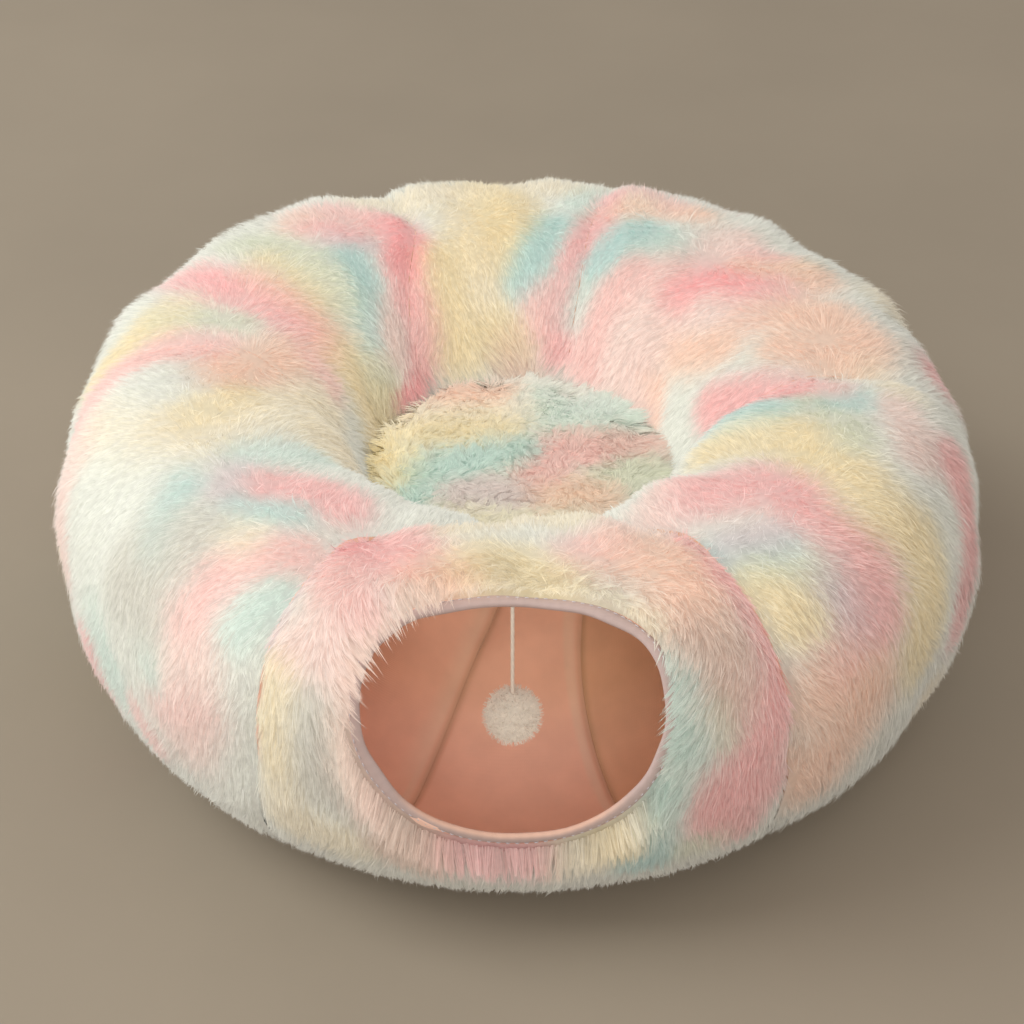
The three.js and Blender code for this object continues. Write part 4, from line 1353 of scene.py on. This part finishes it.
def lay_strands(panel, layer):
    """One layer of a panel's strands."""
    at_mouth = panel is PANELS[0]
    ring_area = sum(cut.area for cut in flat_cuts.values())
    crowding = FRONT_CROWDING if at_mouth else 1
    share = flat_cuts[panel.name].area / ring_area
    azimuth, section = scatter_roots(panel, int(crowding * layer.strands * share))
    count = len(azimuth)
    skin = pile_point(panel, azimuth, section, UNDERCOAT_DEPTH)
    along, up, outward, rate = pile_axes(panel, azimuth, section)
    radius = ring_radius(section, UNDERCOAT_DEPTH)
    low_side = smoothstep(-section, *LOW_SIDE)
    by_pad = smoothstep(section, *BY_PAD)

    # locks, which are larger in the fringe low on the outside
    locks = nearest_cells(skin, LOCKS)
    fringe = nearest_cells(skin, FRINGE) + locks.max() + 1
    locks = np.unique(np.where(low_side > FRINGE_FROM, fringe, locks), return_inverse=True)[1].ravel()
    tufts = nearest_cells(skin, TUFTS)
    outward = unit(outward + group_shift(locks, LOCK_TILT))
    aside, ahead = lie_of_pile(skin, along, up, section, locks)
    length = layer.length * group_draw(locks, *LOCK_LENGTHS) * draws.uniform(*STRAND_LENGTHS, count)
    length = length * (1 + FRINGE_LONGER * low_side) * (1 + BY_PAD_LONGER * by_pad)
    if at_mouth:
        turn, margin = mouth_place(azimuth, section, PILE_DEPTH)
        leaning = sum(side.lean * overhang_share(side, turn) for side in OVERHANGS)
        leaning = leaning * (1 - smoothstep(margin, *LEAN_FADE))
        aside = lerp(aside, -np.cos(turn), leaning)
        ahead = lerp(ahead, -np.sin(turn), leaning)
        length = length * (1 + LEAN_LONGER * leaning)
        at_top = smoothstep(np.sin(turn), *MOUTH_TOP)
        edge_root = lerp(edge_depth(margin) - EDGE_ROOT_RISE, layer.root, TOP_ROOT_SHARE * at_top)

    # where the tips are round the ring and round its section
    tip_azimuth = azimuth + np.degrees(aside * length / radius)
    tip_section = section + ahead * length / rate
    gather = layer.gather * draws.uniform(*GATHER_SPREAD, count)
    for groups, amount in ((tufts, TUFT_GATHER), (locks, gather)):
        tip_azimuth = lerp(tip_azimuth, group_mean(tip_azimuth, groups), amount)
        tip_section = lerp(tip_section, group_mean(tip_section, groups), amount)
    parted = is_parted(panel, seam_place(panel, azimuth, section, PILE_DEPTH)[0])
    start, end = panel_ends(panel, tip_section)
    parted_slack = draws.uniform(0, MOUTH_SEAM_SLACK if at_mouth else SEAM_SLACK, count)
    slack = np.degrees(np.where(parted, parted_slack, FREE_SLACK * layer.length) / radius)
    tip_azimuth = np.clip(tip_azimuth, start - slack, end + slack)

    # how deep the tips and roots are
    fluff = back_fluff(azimuth, section)
    tip_depth = layer.tip + draws.normal(0, layer.uneven, count) - BY_PAD_RISE * by_pad
    tip_depth = tip_depth + group_draw(locks, -LOCK_UNEVEN, LOCK_UNEVEN) - fluff
    stray = draws.random(count) < STRAY_SHARE
    tip_depth = np.where(stray, tip_depth - draws.uniform(*STRAY_REACH, count), tip_depth)
    tip_depth = tip_depth + seam_dip(panel, tip_azimuth, tip_section, SEAM_DIP)
    root_depth = layer.root + seam_dip(panel, azimuth, section, UNDERCOAT_SEAM - UNDERCOAT_DEPTH)
    lateral = np.hypot(np.radians(tip_azimuth - azimuth) * radius, (tip_section - section) * rate)
    shallowest = root_depth - STEEPEST * lateral - BY_PAD_RISE * by_pad - fluff
    tip_depth = np.where(stray, tip_depth, np.maximum(tip_depth, shallowest))
    if at_mouth:
        turn, margin = mouth_place(tip_azimuth, tip_section, 0)
        limit = mouth_limit(turn) + draws.uniform(*LIMIT_SPREAD, count)
        held = mouth_angles(turn, limit, 0)
        short = margin < limit
        tip_azimuth = np.where(short, held[0], tip_azimuth)
        tip_section = np.where(short, held[1], tip_section)
        near_edge = 1 - smoothstep(np.maximum(margin, limit), *MOUTH_DIP_FADE)
        tip_depth = tip_depth + lerp(MOUTH_DIP, MOUTH_TOP_DIP, at_top) * near_edge
        root_depth = np.maximum(root_depth, edge_root)

    bend_azimuth = lerp(azimuth, tip_azimuth, BEND_SHARE)
    bend_section = lerp(section, tip_section, BEND_SHARE)
    bend_depth = lerp(tip_depth, root_depth, BEND_SAG)
    roots = panel_point(panel, azimuth, section, root_depth)
    bends = panel_point(panel, bend_azimuth, bend_section, bend_depth)
    tips = panel_point(panel, tip_azimuth, tip_section, tip_depth)
    bends[:, 2] = np.maximum(bends[:, 2], FLOOR_GAP)
    tips[:, 2] = np.maximum(tips[:, 2], FLOOR_GAP)
    shift = group_draw(locks, -DYE_LOCK_SHIFT, DYE_LOCK_SHIFT) + draws.normal(0, DYE_STRAND_SHIFT, count)
    seen_azimuth = bend_azimuth + np.degrees(shift / radius)
    seen_section = bend_section + group_draw(locks, -DYE_LOCK_SHIFT, DYE_LOCK_SHIFT) / rate
    dye_and_shade = ring_dye_and_shade(panel, seen_azimuth, seen_section) * group_draw(locks, *LOCK_SHADES)[:, None]
    colours = strand_colours(dye_and_shade * layer.shade, count, layer.bent)
    return strand_form(roots, bends, tips, outward, skylight(section), colours, layer.width, layer.bent)


def make_pile(panel, material):
    forms = [make_undercoat(panel, False)] + [lay_strands(panel, layer) for layer in LAYERS]
    return add_piece(panel.name + "_pile", join_forms(forms), material)


def make_underside(panel, material):
    return add_piece(panel.name + "_underside", make_undercoat(panel, True), material)


def dress_panels(make, material, fine=False):
    """One piece on each panel, by the panel's name."""
    return {panel.name: keep(make(panel, material), "plush", panel.name, fine=fine) for panel in PANELS}


cloth_material = woven_material("plush_back", thread=1.1, sheen=0.1, bump=0.12)
plush_material = pile_material("plush_pile", sheen=0.3)
cloths = dress_panels(make_cloth, cloth_material)
undersides = dress_panels(make_underside, plush_material)
piles = dress_panels(make_pile, plush_material, fine=True)


# The binding: a folded tape round the mouth, a little puckered, with a row of stitches
BINDING_STEPS = 240
BINDING_SIDES = 14
BINDING_SQUARENESS = 2.6
BINDING_FLATNESS = 0.9
Ripple = namedtuple("Ripple", "height waves phase")
BINDING_SWAYS = [Ripple(0.5, 5, 0), Ripple(0.35, 11, 2)]
BINDING_SAGS = [Ripple(0.09, 7, 1), Ripple(0.05, 16, 0)]
BINDING_PUCKERS = 74
BINDING_PUCKER = 0.012
PUCKER_DRIFTS = [Ripple(2, 5, 0)]
PUCKER_SHADE = 0.96
TAPE_COLOUR = linear((196, 174, 169))
LINING_COLOUR = linear((226, 186, 166))
LINING_BELOW = (0.55, 0.85)
LINING_INSIDE = (0.5, 0.75)
STITCHES = 104
STITCH_LENGTH = 3.0
STITCH_RADIUS = 0.35
STITCH_INSET = 1.5
STITCH_SEAT = 0.86
STITCH_DIP = 0.35
STITCH_RINGS = 5
STITCH_SIDES = 6
STITCH_END = 0.02
STITCH_COLOUR = linear((206, 200, 204))


def rippled(turn, ripples):
    return sum(ripple.height * np.sin(ripple.waves * turn + ripple.phase) for ripple in ripples)


def binding_frame(turn):
    """Middle of the tape and the directions along, outwards and away from the mouth, at turns."""
    margin = BINDING_WIDTH / 2
    middle = mouth_point(turn, margin, BINDING_DEPTH)
    ahead = mouth_point(turn + NUDGE, margin, BINDING_DEPTH)
    behind = mouth_point(turn - NUDGE, margin, BINDING_DEPTH)
    along = unit(ahead - behind)
    outward = unit(mouth_point(turn, margin, 0) - mouth_point(turn, margin, WALL))
    return middle, along, outward, unit(np.cross(along, outward))


def make_binding(material):
    turn = turns_round(BINDING_STEPS)
    middle, _, outward, away = binding_frame(turn)
    middle = middle + away * rippled(turn, BINDING_SWAYS)[:, None]
    middle, outward, away = middle[:, None], outward[:, None], away[:, None]
    angle = turns_round(BINDING_SIDES)
    fullness = rounded_square(np.cos(angle), np.sin(angle), BINDING_SQUARENESS)
    pucker = np.sin(BINDING_PUCKERS * turn + rippled(turn, PUCKER_DRIFTS))[:, None]
    sag = 1 + rippled(turn, BINDING_SAGS)[:, None]
    wide = BINDING_WIDTH / 2 * fullness * np.cos(angle) * sag
    thick = BINDING_THICKNESS / 2 * BINDING_FLATNESS * fullness * np.sin(angle)
    thick = thick * (1 + BINDING_PUCKER * pucker)
    points = middle + away * wide[..., None] + outward * thick[..., None]
    faces = grid_faces(BINDING_STEPS + 1, BINDING_SIDES)[:, ::-1] % (BINDING_STEPS * BINDING_SIDES)
    # painted shade in the valleys of the puckers
    valley = lerp(PUCKER_SHADE, 1.0, (pucker + 1) / 2) + 0 * wide
    below = smoothstep(-np.sin(turn), *LINING_BELOW)[:, None]
    lining = (smoothstep(-np.cos(angle), *LINING_INSIDE) * below).reshape(-1, 1)
    colours = lerp(TAPE_COLOUR, LINING_COLOUR, lining) * valley.reshape(-1, 1)
    return add_piece("mouth_binding_tape", Form(points.reshape(-1, 3), [faces], colours), material)


def make_stitches(material):
    turn = (np.arange(STITCHES) + 0.5) * FULL_TURN / STITCHES
    middle, along, outward, away = binding_frame(turn)
    inset = BINDING_WIDTH / 2 - STITCH_INSET
    seat = middle + away * inset + outward * (BINDING_THICKNESS / 2 * STITCH_SEAT)
    ring = np.linspace(-1, 1, STITCH_RINGS)
    angle = turns_round(STITCH_SIDES)
    radius = STITCH_RADIUS * np.sqrt(np.maximum(1 - ring**2, STITCH_END))
    dip = -STITCH_DIP * ring**2
    points = (
        seat[:, None, None]
        + along[:, None, None] * (ring * STITCH_LENGTH / 2)[None, :, None, None]
        + outward[:, None, None] * (dip[:, None] + radius[:, None] * np.sin(angle))[None, ..., None]
        + away[:, None, None] * (radius[:, None] * np.cos(angle))[None, ..., None]
    ).reshape(-1, 3)
    first = np.arange(STITCHES)[:, None, None] * STITCH_RINGS * STITCH_SIDES
    sides = grid_faces(STITCH_RINGS, STITCH_SIDES)[:, ::-1]
    ends = end_faces(STITCH_RINGS, STITCH_SIDES)[:, ::-1]
    faces = [(group[None] + first).reshape(-1, group.shape[1]) for group in (sides, ends)]
    colours = np.tile(STITCH_COLOUR, (len(points), 1))
    return add_piece("mouth_binding_stitches", Form(points, faces, colours), material)


tape_material = woven_material("binding_weave", thread=0.7, sheen=0.15, bump=0.35)
keep(make_binding(tape_material), "binding_tape", "mouth_binding")
keep(make_stitches(tape_material), "binding_tape")


# The pompom: soft yarn ends lying round a core, and finer ones that stand out of it
POMPOM_CORE = 14.5
POMPOM_FUZZ = 1.3
POMPOM_LOOSE = 1.6
POMPOM_FIRM = POMPOM_RADIUS - POMPOM_LOOSE
POMPOM_GRID = Grid(40, 26)
POMPOM_POLE = 0.98
POMPOM_UNEVEN = 0.5
POMPOM_NOISE = Noise(6, 0.5, 31)
POMPOM_COLOUR = linear((233, 223, 209))
POMPOM_CORE_SHADE = 0.95
POMPOM_LIGHT = np.array([0, -0.75, 0.66])
POMPOM_ROUNDING = 0.3
Yarn = namedtuple("Yarn", "count root lowest highest length width")
YARNS = [
    Yarn(6500, POMPOM_CORE - 1, POMPOM_CORE + 0.5, POMPOM_FIRM, 5, 0.55),
    Yarn(1500, POMPOM_CORE, POMPOM_FIRM, POMPOM_RADIUS + POMPOM_FUZZ, 2.5, 0.3),
]
YARN_TUFTS = Cells(3, 5)
YARN_SCATTER = 0.05
YARN_TURN = 0.5
YARN_AXIS = (0.3, 0.2, 1)
YARN_LENGTHS = (0.7, 1.2)
YARN_BEND = 0.4
YARN_SHADE = 0.04
YARN_ROOT_SHADE = 0.94


def ball_directions(count):
    """Directions spread evenly, if not quite regularly, all round."""
    height = 1 - 2 * (np.arange(count) + 0.5) / count
    turn = np.arange(count) * math.pi * (3 - math.sqrt(5))
    level = np.sqrt(1 - height**2)
    outward = np.stack([level * np.cos(turn), level * np.sin(turn), height], axis=1)
    return unit(outward + draws.normal(0, YARN_SCATTER, outward.shape))


def pompom_normals(outward):
    return unit(POMPOM_ROUNDING * outward + POMPOM_LIGHT)


def yarn_ends(yarn):
    """Strands from a root radius to somewhere between a lowest and a highest one, so long along the ball."""
    count = yarn.count
    outward = ball_directions(count)
    tufts = nearest_cells(outward * POMPOM_RADIUS, YARN_TUFTS)
    whirl = group_draw(tufts, 0, FULL_TURN) + draws.normal(0, YARN_TURN, count)
    side = unit(np.cross(outward, YARN_AXIS))
    lie = side * np.cos(whirl)[:, None] + np.cross(outward, side) * np.sin(whirl)[:, None]
    reach = draws.uniform(yarn.lowest, yarn.highest, count)[:, None]
    along = yarn.length * draws.uniform(*YARN_LENGTHS, count)[:, None]
    roots = POMPOM_MIDDLE + outward * yarn.root
    bends = POMPOM_MIDDLE + unit(outward * POMPOM_RADIUS + lie * along * YARN_BEND) * reach
    tips = POMPOM_MIDDLE + unit(outward * POMPOM_RADIUS + lie * along) * reach
    shade = draws.normal(1, YARN_SHADE, count)[:, None]
    bend = np.clip(POMPOM_COLOUR * shade, 0, BRIGHTEST)
    # painted shade low in the yarn
    root = bend * YARN_ROOT_SHADE
    colours = np.stack([root, root, bend, bend, bend], axis=1)
    return strand_form(roots, bends, tips, pompom_normals(outward), 0, colours, yarn.width, True)


def pompom_core():
    columns, rows = POMPOM_GRID
    rise = np.linspace(-1, 1, rows)[:, None] * math.pi / 2 * POMPOM_POLE
    turn = turns_round(columns)[None]
    level = np.cos(rise)
    ball = np.stack([level * np.cos(turn), level * np.sin(turn), np.sin(rise) + 0 * turn], axis=-1)
    ball = ball.reshape(-1, 3)
    points = POMPOM_MIDDLE + ball * (POMPOM_CORE + POMPOM_UNEVEN * waves(ball, POMPOM_NOISE))[:, None]
    faces = [grid_faces(rows, columns), end_faces(rows, columns)]
    # painted shade on the core under the yarn
    colours = np.tile(POMPOM_COLOUR * POMPOM_CORE_SHADE, (len(points), 1))
    cells = np.stack([(ball[:, 0] + 1) / 2, (ball[:, 2] + 1) / 2], axis=1)
    return Form(points, faces, colours, pompom_normals(ball), cells)


def make_pompom(material):
    forms = [pompom_core()] + [yarn_ends(yarn) for yarn in YARNS]
    return add_piece("pompom_yarn", join_forms(forms), material)


pompom_material = pile_material("pompom_fibres", sheen=0.25)
pompom = keep(make_pompom(pompom_material), "pompom_yarn", "pompom", fine=True)


# The pad: a crowned filled cushion under a shorter, matted pile
PAD_GRID = Grid(120, 48)
PAD_CROWN_END = 0.995
PAD_FLAT_SHARE = 0.01
PAD_NUDGE = 0.01
PAD_WAVE_PHASES = (1.1, -0.4)
PAD_BODY_SHADE = 0.95
PAD_BRIGHTEST = 0.95
PAD_BACK_FADE = (10, 60)
PAD_LEFT_FADE = (55, 88)
PAD_PILE = 3.5
PAD_STRANDS = 50000
PAD_PILE_START = 96
PAD_PILE_RADIUS = 93
PAD_SIDE_SHARE = 0.2
PAD_LOCKS = Cells(4.5, 13)
PAD_TUFTS = Cells(15, 17)
PAD_CURL = Swirl(2.2, Noise(6, 60, 41))
PAD_TUFT_TURN = 0.9
PAD_LOCK_TURN = 0.8
PAD_RIM = (68, 90)
PAD_RIM_LEAN = 1.2
PAD_LENGTH = 9.5
PAD_LOCK_LENGTHS = (0.7, 1.25)
PAD_STRAND_LENGTHS = (0.7, 1.1)
PAD_RIM_LONGER = 0.7
PAD_ROOT_DEPTH = 0.6
PAD_BEND_RISE = 1.7
PAD_TIP_RISES = (1.2, 3.4)
PAD_STRAND_WIDTH = 0.8
PAD_GATHERS = (0.3, 0.7)
PAD_RIM_GATHER = 0.5
PAD_DYE_SHIFT = 3
PAD_LOCK_SHADES = (0.94, 1.03)
PAD_LIGHT = np.array([0, 0, 0.3])
PAD_RIM_LIGHT = 1.1
PAD_RIM_INWARD = (-0.4, -1, 0.9)


def pad_point(along, turn, depth):
    """A point of the pad a share along its half section, a depth inside the tips of its pile."""
    stations = np.linspace(0, 1, len(PAD_PROFILE))
    radius = np.interp(along, stations, PAD_PROFILE[:, 0])
    height = np.interp(along, stations, PAD_PROFILE[:, 1])
    slope_radius = np.interp(along + PAD_NUDGE, stations, PAD_PROFILE[:, 0]) - radius
    slope_height = np.interp(along + PAD_NUDGE, stations, PAD_PROFILE[:, 1]) - height
    steep = np.hypot(slope_radius, slope_height) + TINY
    flat_end = along >= 1 - PAD_NUDGE
    out = np.where(flat_end, 0, slope_height / steep)
    rise = np.where(flat_end, 1, -slope_radius / steep)
    across = radius * np.cos(turn) / PAD_LUMP_LENGTH + PAD_WAVE_PHASES[0]
    back = radius * np.sin(turn) / PAD_LUMP_LENGTH + PAD_WAVE_PHASES[1]
    crown = smoothstep(height, PAD_LUMP_START, PAD_HEIGHT)
    edge = np.sin(PAD_LUMPS_ROUND * turn) * radius / MIDDLE_RADIUS
    height = height + PAD_LUMP_HEIGHT * crown * (np.sin(across) * np.cos(back) + edge)
    inside = np.maximum(radius - depth * out, 0)
    lifted = np.maximum(height - depth * rise, 0)
    return np.stack([inside * np.cos(turn), inside * np.sin(turn), lifted], axis=-1)


def pad_dye_and_shade(points):
    level = points * (1, 1, 0)
    dye_and_shade = dye_and_shade_at(level, PAD_DYES, lambda stations: np.pad(stations, ((0, 0), (0, 1))))
    # painted shade over the pad, less towards its back
    dye_and_shade = dye_and_shade * lerp(PAD_PAINTED_SHADE, PAD_BACK_PAINTED_SHADE, smoothstep(points[:, 1:2], *PAD_BACK_FADE))
    # painted light on the pad's left rim
    dye_and_shade = dye_and_shade * lerp(1, PAD_LEFT_RIM_PAINTED_LIGHT, smoothstep(-points[:, :1], *PAD_LEFT_FADE))
    return np.minimum(dye_and_shade, PAD_BRIGHTEST)


def make_pad_body(material):
    columns, rows = PAD_GRID
    along = np.repeat(np.linspace(0, PAD_CROWN_END, rows), columns)
    turn = np.tile(turns_round(columns), rows)
    points = pad_point(along, turn, PAD_PILE)
    points[:, 2] = np.where(along < PAD_FLAT_SHARE, 0, points[:, 2])
    faces = [grid_faces(rows, columns), end_faces(rows, columns)]
    # painted shade: the cushion under the pile is a little darker
    colours = pad_dye_and_shade(points) * PAD_BODY_SHADE
    return add_piece("centre_pad_cushion", Form(points, faces, colours), material)


def make_pad_pile(material):
    count = PAD_STRANDS
    radius = PAD_PILE_RADIUS * np.sqrt(draws.random(count))
    turn = draws.uniform(0, FULL_TURN, count)
    stations = np.linspace(0, 1, len(PAD_PROFILE))
    crown = PAD_PROFILE[:, 1] >= PAD_PILE_START
    along = np.interp(-radius, -PAD_PROFILE[crown, 0], stations[crown])
    on_side = draws.random(count) < PAD_SIDE_SHARE
    low = np.interp(PAD_PILE_START, PAD_PROFILE[:, 1], stations)
    along = np.where(on_side, draws.uniform(low, stations[crown][1], count), along)
    base = pad_point(along, turn, PAD_PILE)
    outward = unit(pad_point(along, turn, 0) - base)
    locks = nearest_cells(base, PAD_LOCKS)
    tufts = nearest_cells(base, PAD_TUFTS)
    curl = PAD_CURL.turn * waves(base, PAD_CURL.noise)
    curl = curl + group_draw(tufts, -PAD_TUFT_TURN, PAD_TUFT_TURN)
    curl = curl + group_draw(locks, -PAD_LOCK_TURN, PAD_LOCK_TURN)
    at_rim = smoothstep(radius, *PAD_RIM)
    rim = at_rim[:, None]
    level = np.zeros(count)
    lie = np.stack([np.cos(curl), np.sin(curl), level], axis=1)
    lie = lie + np.stack([np.cos(turn), np.sin(turn), level], axis=1) * PAD_RIM_LEAN * rim
    lie = unit(lie - outward * (lie * outward).sum(axis=1, keepdims=True) * (1 - rim))
    length = PAD_LENGTH * group_draw(locks, *PAD_LOCK_LENGTHS) * draws.uniform(*PAD_STRAND_LENGTHS, count)
    length = (length * (1 + PAD_RIM_LONGER * at_rim))[:, None]
    roots = base - outward * PAD_ROOT_DEPTH
    bends = base + outward * PAD_BEND_RISE + lie * BEND_SHARE * length
    tips = base + outward * draws.uniform(*PAD_TIP_RISES, count)[:, None] + lie * length
    gather = (draws.uniform(*PAD_GATHERS, count) * (1 - PAD_RIM_GATHER * at_rim))[:, None]
    tips = lerp(tips, np.stack([group_mean(column, locks) for column in tips.T], axis=1), gather)
    dye_and_shade = pad_dye_and_shade((base + tips) / 2 + group_shift(locks, PAD_DYE_SHIFT))
    dye_and_shade = dye_and_shade * group_draw(locks, *PAD_LOCK_SHADES)[:, None]
    colours = strand_colours(dye_and_shade, count, True)
    inward = np.stack([np.cos(turn), np.sin(turn), level + 1], axis=1) * PAD_RIM_INWARD
    lift = PAD_LIGHT + inward * PAD_RIM_LIGHT * rim
    form = strand_form(roots, bends, tips, outward, lift, colours, PAD_STRAND_WIDTH, True)
    return add_piece("centre_pad_pile", form, material)


pad_material = pile_material("pad_pile", sheen=0.2)
pad = keep(make_pad_body(pad_material), "pad_plush", "centre_pad")
keep(make_pad_pile(pad_material), "pad_plush", "centre_pad", fine=True)
